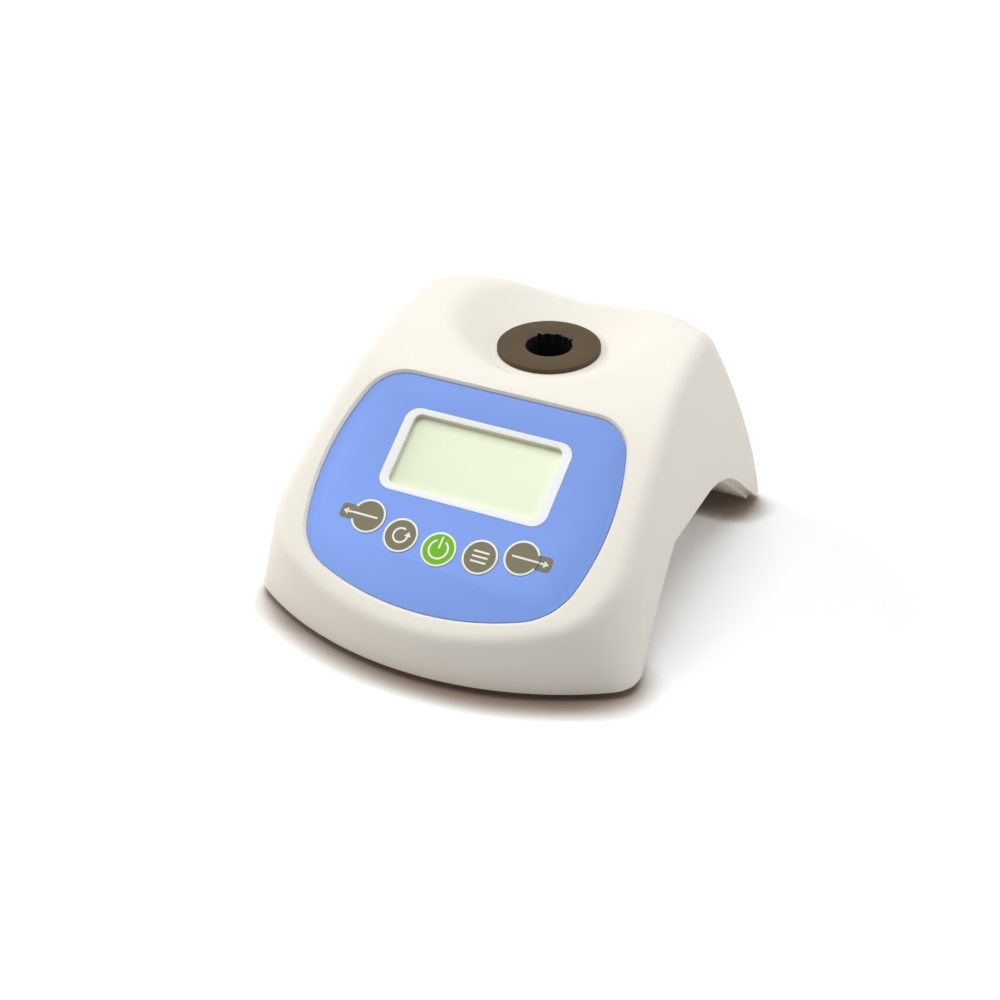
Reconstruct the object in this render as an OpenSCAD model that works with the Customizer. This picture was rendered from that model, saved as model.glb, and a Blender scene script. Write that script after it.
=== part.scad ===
// Bench photometer: wedge casing with a tilted key panel and a cuvette socket in a dished hump.
// Frame: X to the right, Y to the back, Z up, origin on the table under the middle of the body.

/* [Body] */
// Overall width across the front corners
body_w = 149; // [143:1:155]
// Overall depth from the bowed front to the bowed back
body_d = 169; // [164:1:174]
// Overall height of the hump
body_h = 84.5; // [83:0.5:88]
// Wall thickness of the casing
wall = 2.5; // [2:0.1:3]
// Gap between the table and the lower edge of the casing
sole_gap = 2.5; // [2:0.1:4]
// Tilt of the panel face in degrees
panel_tilt = 33.7; // [32:0.1:35]
// Height of the tilted face above the table at the front
front_h = 20.8; // [19:0.1:23]
// Rounding of the upper edge
edge_r = 5.5; // [5:0.1:6.5]
// Radius of the crowned top in side view
crown_r = 118; // [108:1:128]
// Radius of the bowed front in plan
bow_r = 125; // [115:1:140]
// Plan radius of the front corners at the upper edge
corner_top = 28; // [24:1:34]
// Plan radius of the front corners at the table
corner_low = 11; // [9:1:15]
// Sinking of the upper edge at the sides of the panel
shoulder_drop = 0.3; // [0:0.1:2]
// Side lean per height
side_draft = 0.18; // [0.16:0.005:0.2]
// Outward curve of the sides
side_swell = 3; // [1.5:0.1:4]
// Bow of the back in plan
rear_bow = 4.5; // [3:0.1:6]
// Further bow of the back at its top
crest_bow = 5; // [3:0.1:6]
// Outward curve of the back in side view
rear_bulge = 1.4; // [0.5:0.1:3]
// Depth taken by the lean of the back
rear_run = 28.2; // [25:0.1:30]
// Rounding of the ridge above the back
ridge_r = 7.4; // [6:0.1:9]

/* [Arch] */
// Height of the level ceiling of the arch
arch_h = 33.7; // [31:0.1:35]
// Start of the ramp behind the front edge
ramp_start = 32.8; // [30:0.1:36]
// Slope of the ramp in degrees
ramp_tilt = 38.4; // [36:0.1:40]
// Radius of the slightly curved ramp
ramp_r = 250; // [200:5:400]
// Distance from the back to the end of the level ceiling
arch_back = 63.44; // [60:0.01:66]
// Radius of the arch towards the back
arch_r = 47.5; // [43:0.5:50]
// Slope of the arch down to the rear foot
arch_tilt = 41.2; // [39:0.1:43]
// Thickness of the bottom cover
base_t = 2.5; // [2:0.1:3]
// Part of the bottom cover that shows under the side edge
under_t = 2.2; // [1.6:0.1:2.6]

/* [Panel] */
// Place of the display centre up the slope, as a share of the depth
panel_place = 0.3846; // [0.375:0.0005:0.395]
// Depth of the panel face under the casing
panel_sink = 1; // [0.6:0.1:1.4]
// Thickness of the panel overlay
overlay_t = 0.8; // [0.6:0.1:1.2]
// Thickness of the bed under the overlay
bed_t = 1.6; // [1.4:0.1:2]
// Greatest half width of the panel
panel_half = 55.2; // [54:0.1:56.5]
// Upper edge of the panel above the display centre, as a share of the depth
top_place = 0.1698; // [0.16:0.0005:0.177]
// Lower edge of the panel under the display centre, as a share of the depth
low_place = 0.3373; // [0.33:0.0005:0.343]
// Width of the white display border
border_w = 66.8; // [64:0.1:69]
// Height of the white display border
border_h = 33.4; // [32:0.1:35]
// Width of the display opening
view_w = 59.6; // [57:0.1:61]
// Height of the display opening
view_h = 29.2; // [28:0.1:30]
// Thickness of the display glass
glass_t = 2.2; // [1.8:0.1:2.6]
// Thickness of the light plate behind the glass
glow_t = 2.4; // [2.2:0.1:3]

/* [Keys] */
// Diameter of a key
key_d = 13.1; // [12:0.1:13.3]
// Distance of neighbouring keys across the panel
key_step = 15.5; // [15.4:0.1:16]
// Radius of the arc that the keys stand on
key_arc = 93; // [85:1:110]
// Place of the middle key under the display centre, as a share of the depth
key_place = 0.1976; // [0.193:0.0005:0.202]
// Rise of a key over the panel
key_rise = 0.3; // [0.2:0.1:0.5]
// Travel of a key
key_travel = 0.5; // [0.4:0.1:0.6]

/* [Socket] */
// Place of the socket axis in front of the back, as a share of the depth
socket_place = 0.3166; // [0.308:0.0005:0.325]
// Depth of the dish under the top of the hump
dish_depth = 11.7; // [11:0.1:12.5]
// Slope of the dish in degrees
dish_tilt = 32.5; // [30:0.5:36]
// Diameter of the socket flange
flange_d = 38.5; // [37:0.1:39.5]
// Thickness of the socket flange
flange_t = 1.9; // [1.6:0.1:2.4]
// Diameter of the tube bore
bore_d = 17.2; // [16.9:0.1:17.4]
// Side of the square cuvette well
well_side = 12.7; // [12.6:0.05:12.9]
// Outer diameter of the socket neck
neck_d = 23; // [22.5:0.1:24]
// Height of the well floor over the arch ceiling
well_rise = 9; // [8:0.5:10]
// Height of the optical block over the light beam
beam_cover = 8; // [7:0.5:9]
// Width of the optical block
block_w = 44; // [43:0.5:48]
// Depth of the optical block
block_d = 30; // [29:0.5:32]

/* [Fittings] */
// Running clearance of moving pieces
slack = 0.3; // [0.25:0.01:0.4]
// Clearance of pieces that are fixed
fit = 0.15; // [0.1:0.01:0.2]
// Board thickness
board_t = 1.6; // [1.2:0.1:2]
// Radius of the front feet
foot_r = 5; // [4:0.1:6]
// Radius of the rear feet
heel_r = 3; // [2.5:0.1:3.2]
// Position of the inlet across the back
jack_x = 38; // [34:0.5:42]
// Height of the inlet over the table
jack_z = 30; // [28:0.5:34]
// Sub-part to build

/* [Hidden] */
front_y = -body_d / 2;
back_y = body_d / 2;
sole_z = sole_gap;
tt = tan(panel_tilt);
ct = cos(panel_tilt);
st = sin(panel_tilt);
// Tilted face and crowned top
crown_z = body_h - crown_r;
crown_y = front_y + (crown_r / ct + crown_z - front_h) / tt;
panel_up = panel_place * body_d;
panel_top = top_place * body_d;
panel_low = low_place * body_d;
panel_y = front_y + panel_up * ct + panel_sink * st;
panel_z = front_h + panel_up * st - panel_sink * ct;
// Bottom cover
inner_z = sole_z + 1;
ramp_y = front_y + ramp_start;
kink_y = ramp_y + (arch_h - sole_z) / tan(ramp_tilt);
arc_y = back_y - arch_back;
ramp_half = (arch_h - sole_z) / sin(ramp_tilt) / 2;
ramp_in = sqrt(pow(ramp_r, 2) - pow(ramp_half, 2));
ramp_cy = ramp_y + ramp_half * cos(ramp_tilt) + ramp_in * sin(ramp_tilt);
ramp_cz = sole_z + ramp_half * sin(ramp_tilt) - ramp_in * cos(ramp_tilt);
edge_set = 1;
// Rear corners of the hump
corner_x = body_w / 2 - 19.5;
plate_z = arch_h + base_t;
// Levels under the panel face, measured along its normal
bed_w = -overlay_t;
under_w = bed_w - bed_t;
glass_w = under_w - glass_t;
board_w = glass_w - glow_t;
board_back_w = board_w - board_t;
skirt = 0.9;
// Keys
key_low = key_place * body_d;
key_r = key_d / 2;
key_hole_r = key_r + slack;
key_flange_r = key_hole_r + 0.35;
key_flange_t = 0.8;
key_flange_w = under_w - 0.2;
key_stem_r = 1.6;
switch_top_w = key_flange_w - key_flange_t - key_travel - 0.3;
stem_end_w = switch_top_w - 0.6;
switch_s = 6;
// Socket
socket_y = back_y - socket_place * body_d;
floor_z = body_h - dish_depth;
dish_bed = 2.5;
dish_gap = 2.2;
dish_back = 1;
rim_h = 1.4;
rim_w = 5;
neck_r = neck_d / 2;
well_z = arch_h + well_rise;
under_floor = floor_z - dish_bed;
nut_t = 4;
nut_r = neck_r + 4.5;
nut_gap = 0.6;
block_z = plate_z + 3;
block_top = under_floor - nut_t - nut_gap;
beam_z = block_top - beam_cover;
// Main board
main_z = plate_z + 3.6;
main_top = main_z + board_t;
main_x = 48;
main_y0 = kink_y - 3;
main_y1 = socket_y - block_d / 2 - 4;
main_my = (main_y0 + main_y1) / 2;
main_d = main_y1 - main_y0;
// Screws
front_screw_x = 30;
front_screw_y = front_y + 20;
rear_screw_x = body_w / 2 - 19.5;
rear_screw_y = arc_y - 9;
post_r = 3.6;
pilot_r = 1.25;
board_post_x = view_w / 2 + 13.2;
board_post_v = view_h / 2 - 0.6;
head_z = arch_h;
block_px = block_w / 2 - 5;
block_py = block_d / 2 - 4.5;
boss_px = main_x - 4;
boss_py = 0.256 * main_d;
// Feet
foot_x = body_w / 2 - 24.5;
foot_y = front_y + 24.5;
heel_x = body_w / 2 - 26.5;
heel_mid = (heel_y(inner_z) + rear_y(inner_z, heel_x) - wall - 2 * fit) / 2;
seat_in = 0.5;
// Inlet
seat_y = rear_y(jack_z, jack_x) - 4.2;
boss_y = seat_y - 4;
jack_r = 4;
jack_len = 16;
// Beam
beam_r = 2.5;
lamp_x = block_w / 2;
filter_x = neck_r + fit + 2.5;
filter_r = 4;
filter_t = 2;

$fn = 48;

// Helpers

function turn(a) = [cos(a), sin(a)];
function arc(c, r, a0, a1, n) = [for (i = [0:n]) c + r * turn(a0 + (a1 - a0) * i / n)];
function flip(p) = [for (i = [len(p) - 1:-1:0]) p[i]];
function mirrored(p) = [for (q = flip(p)) [-q[0], q[1]]];
// Share of the full height
function rise(z) = (z - sole_z) / (body_h - sole_z);
// Half width of the leaning side at a depth and a height
function side_x(y, z) = let(t = rise(z))
    body_w / 2 - 1 - 0.025 * (y - front_y - 25) - side_draft * (z - sole_z) + 4 * side_swell * t * (1 - t);
// Back of the body at a height and a distance from the middle
function rear_y(z, x) = let(t = rise(z))
    back_y - rear_run * t + 4 * rear_bulge * t * (1 - t) - rear_bow * pow(x / (body_w / 2 - 5), 2)
    + crest_bow * t * (1 - pow(x / corner_x, 2));
// Height of a ball centre that touches the tilted face
function face_z(y, r) = front_h + (y - front_y) * tt - r / ct;
// Plan outline of the lower edge, set in by d
function sole_plan(d) =
    let(hw = body_w / 2 - d, r = max(corner_low - d, 1), rb = bow_r - d, cy = front_y + bow_r,
        cx = hw - r, ky = cy - sqrt(pow(rb - r, 2) - cx * cx), a = atan2(ky - cy, cx),
        xr = side_x(back_y, sole_z) - d,
        right = concat(arc([0, cy], rb, -90, a, 5), arc([cx, ky], r, a, 0, 6),
            [for (i = [4:-1:0]) [xr * i / 4, rear_y(sole_z, xr * i / 4) - d]]))
    concat(right, mirrored(right));
// Plan of the back at a height, set in by d, with its rounded corners
function rear_plan(z, d) =
    let(r = 3 + 8.3 * pow(rise(z), 2), xs = side_x(rear_y(z, corner_x), z),
        c = [xs - r, rear_y(z, xs - r) - r],
        right = concat([[0, 0]], arc(c, r - d, 0, 80, 5),
            [for (i = [3:-1:0]) let(x = c[0] * i / 4) [x, rear_y(z, x) - d]]))
    concat(right, mirrored([for (i = [1:len(right) - 2]) right[i]]));
// Centres of the balls along the front of the upper edge: right half, from the middle to the side
function lip_rail(r) =
    let(xs = side_x(front_y + 40, face_z(front_y + 40, 0)), cy = front_y + bow_r,
        cx = xs - corner_top, ky = cy - sqrt(pow(bow_r - corner_top, 2) - cx * cx),
        a = atan2(ky - cy, cx))
    concat([for (q = arc([0, cy], bow_r - r, -90, a, 4)) [q[0], q[1], face_z(q[1], r)]],
        [for (i = [1:6]) let(q = [cx, ky] + (corner_top - r) * turn(a * (1 - i / 6)))
            [q[0], q[1], face_z(q[1], r) - shoulder_drop * i / 6]]);
// Centres of the balls along the sides of the crowned top
function crown_rail(r) =
    [for (i = [0:5]) let(a = panel_tilt * (1 - i / 5), y = crown_y - (crown_r - r) * sin(a),
        z = crown_z + (crown_r - r) * cos(a), yy = min(y, rear_y(z, corner_x) - r))
        [side_x(yy, z) - r, yy, z]];
// Point of the ramp at a height, moved up by t
function ramp_at(t, z) = [ramp_cy - sqrt(pow(ramp_r + t, 2) - pow(z - ramp_cz, 2)), z];
// Profile of the arch in side view, moved up by t, with both ends at height z
function arch_line(t, z) =
    let(e = [arc_y + (arch_r + t) * sin(arch_tilt), arch_h - arch_r + (arch_r + t) * cos(arch_tilt)])
    concat([for (i = [0:5]) ramp_at(t, z + (arch_h + t - z) * i / 5)],
        arc([arc_y, arch_h - arch_r], arch_r + t, 90, 90 - arch_tilt, 10),
        [[e[0] + (e[1] - z) / tan(arch_tilt), z]]);
function heel_y(z) = arch_line(0, z)[len(arch_line(0, z)) - 1][0];
// Place of a key on the panel
function key_u(i) = key_step * sin(14.5 * i) / sin(14.5);
function key_at(i) = [key_u(i), -key_low + key_arc - sqrt(pow(key_arc, 2) - pow(key_u(i), 2))];
// Panel outline, grown by g
function panel_line(g) =
    let(rs = 94, rt = 15.3, rb = 108, rc = 23, cs = [panel_half - rs, -10.3], cb = [0, rb - panel_low],
        c1 = [cs[0] + sqrt(pow(rs - rt, 2) - pow(panel_top - rt - cs[1], 2)), panel_top - rt],
        d = norm(cb - cs), m = (pow(rs - rc, 2) - pow(rb - rc, 2) + d * d) / (2 * d),
        h = sqrt(pow(rs - rc, 2) - m * m), u = (cb - cs) / d,
        cc = cs + m * u + h * [u[1], -u[0]],
        a1 = atan2(c1[1] - cs[1], c1[0] - cs[0]), a2 = atan2(cc[1] - cs[1], cc[0] - cs[0]),
        a3 = atan2(cc[1] - cb[1], cc[0] - cb[0]),
        right = concat(arc(c1, rt + g, 90, a1, 8), arc(cs, rs + g, a1 - 2, a2 + 2, 8),
            arc(cc, rc + g, a2, a3, 8), arc(cb, rb + g, a3 - 3, -90, 6)))
    concat(right, mirrored([for (i = [0:len(right) - 2]) right[i]]));

module on_panel() { translate([0, panel_y, panel_z]) rotate([panel_tilt, 0, 0]) children(); }
module along_x(w) { rotate([90, 0, 90]) linear_extrude(w, center = true) children(); }
module round_plate(w, h, r, t) {
    linear_extrude(t) union() {
        square([w - 2 * r, h], center = true);
        square([w, h - 2 * r], center = true);
        for (x = [-1, 1]) for (y = [-1, 1]) translate([x * (w / 2 - r), y * (h / 2 - r)]) circle(r);
    }
}
module ring(r1, r0, h) difference() {
    cylinder(r = r1, h = h);
    translate([0, 0, -1]) cylinder(r = r0, h = h + 2);
}
module wire(p, r) {
    for (i = [0:len(p) - 2]) {
        v = p[i + 1] - p[i];
        translate(p[i]) rotate([0, acos(v[2] / norm(v)), atan2(v[1], v[0])]) cylinder(r = r, h = norm(v));
        if (i > 0) translate(p[i]) sphere(r);
    }
}
// Screw with its head under z = 0 and its shank upwards
module screw(r, l, hr, ht) {
    translate([0, 0, -ht * 0.3]) cylinder(r = r, h = l + ht * 0.3);
    difference() {
        translate([0, 0, -ht]) cylinder(r = hr, h = ht);
        translate([0, 0, -ht - 0.01]) cylinder(r = hr * 0.5, h = ht * 0.6, $fn = 6);
    }
}

// Outer form of the body, set in by d
module body_form(d, fn = 20) {
    r = edge_r - d;
    hull() {
        translate([0, 0, sole_z]) linear_extrude(0.01) polygon(sole_plan(d));
        for (p = concat(lip_rail(edge_r), crown_rail(edge_r))) for (s = [-1, 1])
            translate([s * p[0], p[1], p[2]]) sphere(r, $fn = fn);
        on_panel() translate([0, 0, panel_sink - d - 0.01]) linear_extrude(0.01) polygon(panel_line(2));
        for (t = [0.25, 0.5, 0.75, 0.93]) {
            z = sole_z + t * (body_h - sole_z);
            translate([0, 0, z]) linear_extrude(0.01) polygon(rear_plan(z, d));
        }
        for (i = [-2:2]) {
            x = i * 20;
            z = body_h - ridge_r;
            translate([x, rear_y(z, x) - ridge_r, z]) sphere(ridge_r - d, $fn = fn);
        }
        for (p = [[front_y + 40, 18], [front_y + 50, 36], [front_y + 84, 56]]) for (s = [-1, 1])
            translate([s * (side_x(p[0], p[1]) - d), p[0], p[1]]) cube(0.02, center = true);
    }
}
// Conical dish around the socket with a flatter rim, grown by g
module dish(g) {
    foot = flange_d / 2 + dish_gap + g;
    rim = foot + (dish_depth - rim_h) / tan(dish_tilt);
    translate([0, socket_y - dish_back, floor_z - g]) {
        cylinder(r1 = foot, r2 = rim, h = dish_depth - rim_h);
        translate([0, 0, dish_depth - rim_h]) cylinder(r1 = rim, r2 = rim + 4 * rim_w, h = 4 * rim_h);
    }
}
module key_places() { for (i = [-2:2]) translate(concat(key_at(i), [0])) children(); }
module board_places() {
    for (s = [-1, 1]) for (v = [-board_post_v, board_post_v]) translate([s * board_post_x, v, 0]) children();
}

// Sub-parts

module upper_shell() color("white") difference() {
    union() {
        difference() {
            body_form(0, 16);
            difference() {
                union() {
                    body_form(wall, 10);
                    translate([0, 0, sole_z - 1]) linear_extrude(1.2) polygon(sole_plan(wall));
                }
                dish(dish_bed);
                on_panel() translate([0, 0, under_w]) linear_extrude(20) polygon(panel_line(3));
            }
        }
        intersection() {
            body_form(wall / 2, 8);
            union() {
                for (s = [-1, 1]) {
                    translate([s * front_screw_x, front_screw_y, inner_z + base_t])
                        cylinder(r = post_r, h = 60);
                    translate([s * rear_screw_x, rear_screw_y, plate_z]) cylinder(r = post_r, h = 60);
                }
                on_panel() board_places() translate([0, 0, board_w]) cylinder(r = 3, h = 10);
                translate([jack_x, boss_y, jack_z]) rotate([-90, 0, 0]) cylinder(r = 9.5, h = 30);
            }
        }
    }
    along_x(body_w + 20) polygon(arch_line(0, sole_z - 3));
    dish(0);
    translate([0, socket_y, floor_z - 10]) cylinder(r = neck_r + fit, h = 20);
    on_panel() {
        translate([0, 0, bed_w]) linear_extrude(20) polygon(panel_line(fit));
        translate([0, 0, under_w - 1])
            round_plate(view_w + 2 * skirt + 2 * fit, view_h + 2 * skirt + 2 * fit, 3, 5);
        key_places() translate([0, 0, under_w - 1]) cylinder(r = key_hole_r, h = 5);
        board_places() translate([0, 0, board_w - 1]) cylinder(r = pilot_r, h = 4.6);
    }
    for (s = [-1, 1]) {
        translate([s * front_screw_x, front_screw_y, 0])
            cylinder(r = pilot_r + 0.1, h = inner_z + base_t + 10);
        translate([s * rear_screw_x, rear_screw_y, 0]) cylinder(r = pilot_r + 0.1, h = plate_z + 10);
    }
    translate([jack_x, seat_y, jack_z]) rotate([-90, 0, 0]) cylinder(r = 7, h = 30);
    translate([jack_x, boss_y - 5, jack_z]) rotate([-90, 0, 0]) cylinder(r = jack_r + fit, h = 30);
}

module base_cover() color("gainsboro") difference() {
    union() {
        intersection() {
            along_x(body_w + 20) polygon(concat(
                [[-200, inner_z]], arch_line(-under_t / 2, inner_z), [[200, inner_z]],
                [[200, inner_z + base_t]], flip(arch_line(base_t, inner_z + base_t)),
                [[-200, inner_z + base_t]]));
            body_form(wall + 2 * fit, 8);
        }
        intersection() {
            along_x(body_w + 20) polygon(concat(arch_line(0, sole_z), flip(arch_line(-under_t, sole_z))));
            body_form(edge_set, 8);
        }
        difference() {
            union() {
                for (s = [-1, 1]) for (q = [-1, 1]) {
                    translate([s * boss_px, main_my + q * boss_py, 5]) cylinder(r = 3, h = main_z - 5);
                    translate([s * block_px, socket_y + q * block_py, 5]) cylinder(r = 4, h = block_z - 5);
                }
            }
            along_x(body_w + 20) polygon(concat([[-200, -10], [-200, inner_z]],
                arch_line(-under_t / 2, inner_z), [[200, inner_z], [200, -10]]));
        }
    }
    for (s = [-1, 1]) for (q = [-1, 1]) {
        translate([s * boss_px, main_my + q * boss_py, plate_z - 1]) cylinder(r = pilot_r + 0.1, h = 10);
        translate([s * block_px, socket_y + q * block_py, 0]) cylinder(r = 1.5, h = 60);
        translate([s * block_px, socket_y + q * block_py, 0]) cylinder(r = 2.9, h = head_z);
    }
    for (s = [-1, 1]) {
        translate([s * front_screw_x, front_screw_y, 0]) cylinder(r = 1.5, h = 20);
        translate([s * front_screw_x, front_screw_y, 0]) cylinder(r = 2.9, h = inner_z + 1);
        translate([s * rear_screw_x, rear_screw_y, 0]) cylinder(r = 1.5, h = 60);
        translate([s * rear_screw_x, rear_screw_y, 0]) cylinder(r = 2.9, h = head_z);
        translate([s * foot_x, foot_y, 0]) cylinder(r = foot_r + fit, h = inner_z + seat_in);
        translate([s * heel_x, heel_mid, 0]) cylinder(r = heel_r + fit, h = inner_z + seat_in);
    }
}

module panel_overlay() color("royalblue") on_panel() difference() {
    translate([0, 0, bed_w]) linear_extrude(overlay_t) polygon(panel_line(0));
    translate([0, 0, bed_w - 1]) round_plate(border_w, border_h, 5.5, 5);
    key_places() translate([0, 0, bed_w - 1]) cylinder(r = key_hole_r, h = 5);
}

module display_border() color("white") on_panel() difference() {
    union() {
        translate([0, 0, bed_w]) round_plate(border_w - 2 * fit, border_h - 2 * fit, 5.4, overlay_t + 0.1);
        translate([0, 0, under_w]) round_plate(view_w + 2 * skirt, view_h + 2 * skirt, 2.8, bed_t + 0.1);
    }
    translate([0, 0, under_w - 1]) round_plate(view_w, view_h, 2, 10);
}

module display_glass() color("palegoldenrod") on_panel() translate([0, 0, glass_w + glass_t / 2])
    cube([view_w + 5, view_h + 4.4, glass_t], center = true);

module display_holder() color("dimgray") on_panel() difference() {
    translate([0, 0, (board_w + under_w) / 2])
        cube([view_w + 9, view_h + 8.4, under_w - board_w], center = true);
    cube([view_w + 5 + 2 * fit, view_h + 4.4 + 2 * fit, 40], center = true);
}

module display_glow() color("ivory") on_panel() translate([0, 0, board_w + glow_t / 2])
    cube([view_w + 3, view_h + 3, glow_t], center = true);

module keypad_board() color("darkgreen") on_panel() difference() {
    translate([-board_post_x - 4, -key_low - 6.1, board_back_w])
        cube([2 * board_post_x + 8, key_low + view_h / 2 + 11, board_t]);
    board_places() translate([0, 0, board_back_w - 1]) cylinder(r = 1.4, h = board_t + 2);
}

module keypad_screws() color("silver") on_panel() board_places()
    translate([0, 0, board_back_w]) screw(1.15, board_t + 3.4, 2.2, 1.6);

module key_switches() color("black") on_panel() key_places() difference() {
    translate([-switch_s / 2, -switch_s / 2, board_w]) cube([switch_s, switch_s, switch_top_w - board_w]);
    translate([0, 0, stem_end_w - key_travel - 0.3]) cylinder(r = key_stem_r + slack, h = 10);
}

module key(i) on_panel() translate(concat(key_at(i), [0])) {
    translate([0, 0, key_flange_w - 0.1]) cylinder(r = key_r, h = key_rise - key_flange_w + 0.1);
    translate([0, 0, key_flange_w - key_flange_t]) cylinder(r = key_flange_r, h = key_flange_t);
    translate([0, 0, stem_end_w])
        cylinder(r = key_stem_r, h = key_flange_w - key_flange_t - stem_end_w + 0.1);
}
module key_far_left() color("dimgray") key(-2);
module key_left() color("dimgray") key(-1);
module key_power() color("limegreen") key(0);
module key_right() color("dimgray") key(1);
module key_far_right() color("dimgray") key(2);

module socket_insert() color("saddlebrown") translate([0, socket_y, 0]) difference() {
    union() {
        translate([0, 0, floor_z]) cylinder(r = flange_d / 2, h = flange_t);
        translate([0, 0, well_z - 3]) cylinder(r = neck_r, h = floor_z + 0.5 - well_z + 3);
    }
    translate([0, 0, well_z]) cylinder(r = bore_d / 2, h = 60);
    translate([-well_side / 2, -well_side / 2, well_z]) cube([well_side, well_side, 60]);
    translate([0, 0, beam_z]) rotate([0, 90, 0]) cylinder(r = beam_r, h = 60, center = true);
}

module socket_nut() color("black") translate([0, socket_y, under_floor - nut_t])
    ring(nut_r, neck_r + 0.1, nut_t);

module optical_block() color("black") translate([0, socket_y, 0]) difference() {
    translate([-block_w / 2, -block_d / 2, block_z]) cube([block_w, block_d, block_top - block_z]);
    translate([0, 0, block_z - 1]) cylinder(r = neck_r + fit, h = 60);
    translate([0, 0, beam_z]) rotate([0, 90, 0]) cylinder(r = beam_r, h = block_w + 2, center = true);
    translate([-block_w, 0, beam_z]) rotate([0, 90, 0])
        cylinder(r = beam_r + fit, h = block_w - neck_r - 1);
    translate([filter_x, 0, beam_z]) rotate([0, 90, 0]) cylinder(r = filter_r + fit, h = block_w);
    for (s = [-1, 1]) for (q = [-1, 1])
        translate([s * block_px, q * block_py, block_z - 1]) cylinder(r = pilot_r + 0.1, h = 11);
}

module block_screws() color("silver") for (s = [-1, 1]) for (q = [-1, 1])
    translate([s * block_px, socket_y + q * block_py, head_z])
        screw(pilot_r, block_z - head_z + 8, 2.6, 1.8);

module lamp() color("orange") translate([0, socket_y, beam_z]) rotate([0, 90, 0]) {
    translate([0, 0, -lamp_x - 1]) cylinder(r = beam_r + 0.9, h = 1);
    translate([0, 0, -lamp_x - 0.1]) cylinder(r = beam_r, h = lamp_x - neck_r - 5);
    translate([0, 0, -neck_r - 5.1]) sphere(beam_r);
}

module beam_filter() color("crimson") translate([filter_x, socket_y, beam_z]) rotate([0, 90, 0])
    cylinder(r = filter_r, h = filter_t);

module detector() color("silver") translate([0, socket_y, beam_z]) rotate([0, 90, 0]) {
    translate([0, 0, filter_x + filter_t])
        cylinder(r = filter_r, h = block_w / 2 - filter_x - filter_t + 0.1);
    translate([0, 0, block_w / 2]) cylinder(r = filter_r + 1, h = 1);
}

// Pair of leads from the optics at one side down to the main board
module optic_leads(s) for (q = [-1, 1]) {
    x = block_w / 2 + 9 + q;
    y = socket_y + q * 1.3;
    wire([[s * (block_w / 2 + 1), y, beam_z], [s * x, y, beam_z], [s * x, main_y1 - 5, beam_z],
        [s * x, main_y1 - 5, main_top]], 0.6);
}
module lamp_wires() color("red") optic_leads(-1);
module detector_wires() color("yellow") optic_leads(1);

module main_board() color("darkgreen") difference() {
    translate([-main_x, main_y0, main_z]) cube([2 * main_x, main_y1 - main_y0, board_t]);
    for (s = [-1, 1]) for (q = [-1, 1])
        translate([s * boss_px, main_my + q * boss_py, main_z - 1]) cylinder(r = 1.4, h = board_t + 2);
}

module board_parts() color("dimgray") translate([0, main_my, main_top]) {
    translate([0, 0, 0.8]) cube([12, 0.44 * main_d, 1.6], center = true);
    translate([18, 0, 0]) cylinder(r = 3.2, h = 9);
    translate([25, -0.22 * main_d, 0]) cube([7, 5, 2]);
    translate([-31, main_y0 + 2 - main_my, 0]) cube([14, 5, 4]);
    translate([10, -0.26 * main_d, 0]) cube([5, 3, 1.2]);
}

module board_screws() color("silver") for (s = [-1, 1]) for (q = [-1, 1])
    translate([s * boss_px, main_my + q * boss_py, main_top]) rotate([180, 0, 0])
        screw(pilot_r, board_t + 3.8, 2.4, 1.6);

module ribbon_cable() color("lightgray") {
    w = board_back_w - 3;
    a = [panel_y + 6 * ct - w * st, panel_z + 6 * st + w * ct];
    b = [main_y0 + 4.5, main_top + 6.5];
    on_panel() translate([-31, 3.5, w]) cube([14, 5, 3]);
    translate([-31, main_y0 + 2, main_top + 4]) cube([14, 5, 3]);
    translate([-24, 0, 0]) along_x(12)
        polygon([a + [-0.4, 0.4], b + [-0.4, -0.4], b + [0.4, 0.4], a + [0.4, 1.2]]);
}

module dc_inlet() color("black") translate([jack_x, 0, jack_z]) rotate([-90, 0, 0]) {
    difference() {
        union() {
            translate([0, 0, seat_y]) cylinder(r = jack_r + 2, h = 1.2);
            translate([0, 0, seat_y - jack_len]) cylinder(r = jack_r, h = jack_len + 0.1);
        }
        translate([0, 0, seat_y - 9]) cylinder(r = 2.9, h = 30);
    }
    translate([0, 0, seat_y - 9.5]) cylinder(r = 1, h = 9.5);
}

module inlet_nut() color("silver") translate([jack_x, boss_y, jack_z]) rotate([90, 0, 0]) difference() {
    cylinder(r = 7, h = 2.4, $fn = 6);
    translate([0, 0, -1]) cylinder(r = jack_r + 0.1, h = 5);
}

module inlet_wires() color("red") for (q = [-1, 1]) {
    x = jack_x + 1.6 * q;
    e = seat_y - jack_len;
    wire([[x, e, jack_z], [x, e - 3, jack_z], [x, e - 9, main_top + 5], [x, main_y1 - 5, main_top + 5],
        [x, main_y1 - 5, main_top]], 0.7);
}

module case_screws() color("silver") for (s = [-1, 1]) {
    translate([s * front_screw_x, front_screw_y, inner_z + 1]) screw(pilot_r, base_t + 8, 2.6, 1.8);
    translate([s * rear_screw_x, rear_screw_y, head_z]) screw(pilot_r, plate_z - head_z + 8, 2.6, 1.8);
}

module foot(x, y, r) color("black") translate([x, y, 0]) cylinder(r = r, h = inner_z + seat_in);
module foot_front_left() foot(-foot_x, foot_y, foot_r);
module foot_front_right() foot(foot_x, foot_y, foot_r);
module foot_rear_left() foot(-heel_x, heel_mid, heel_r);
module foot_rear_right() foot(heel_x, heel_mid, heel_r);

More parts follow.
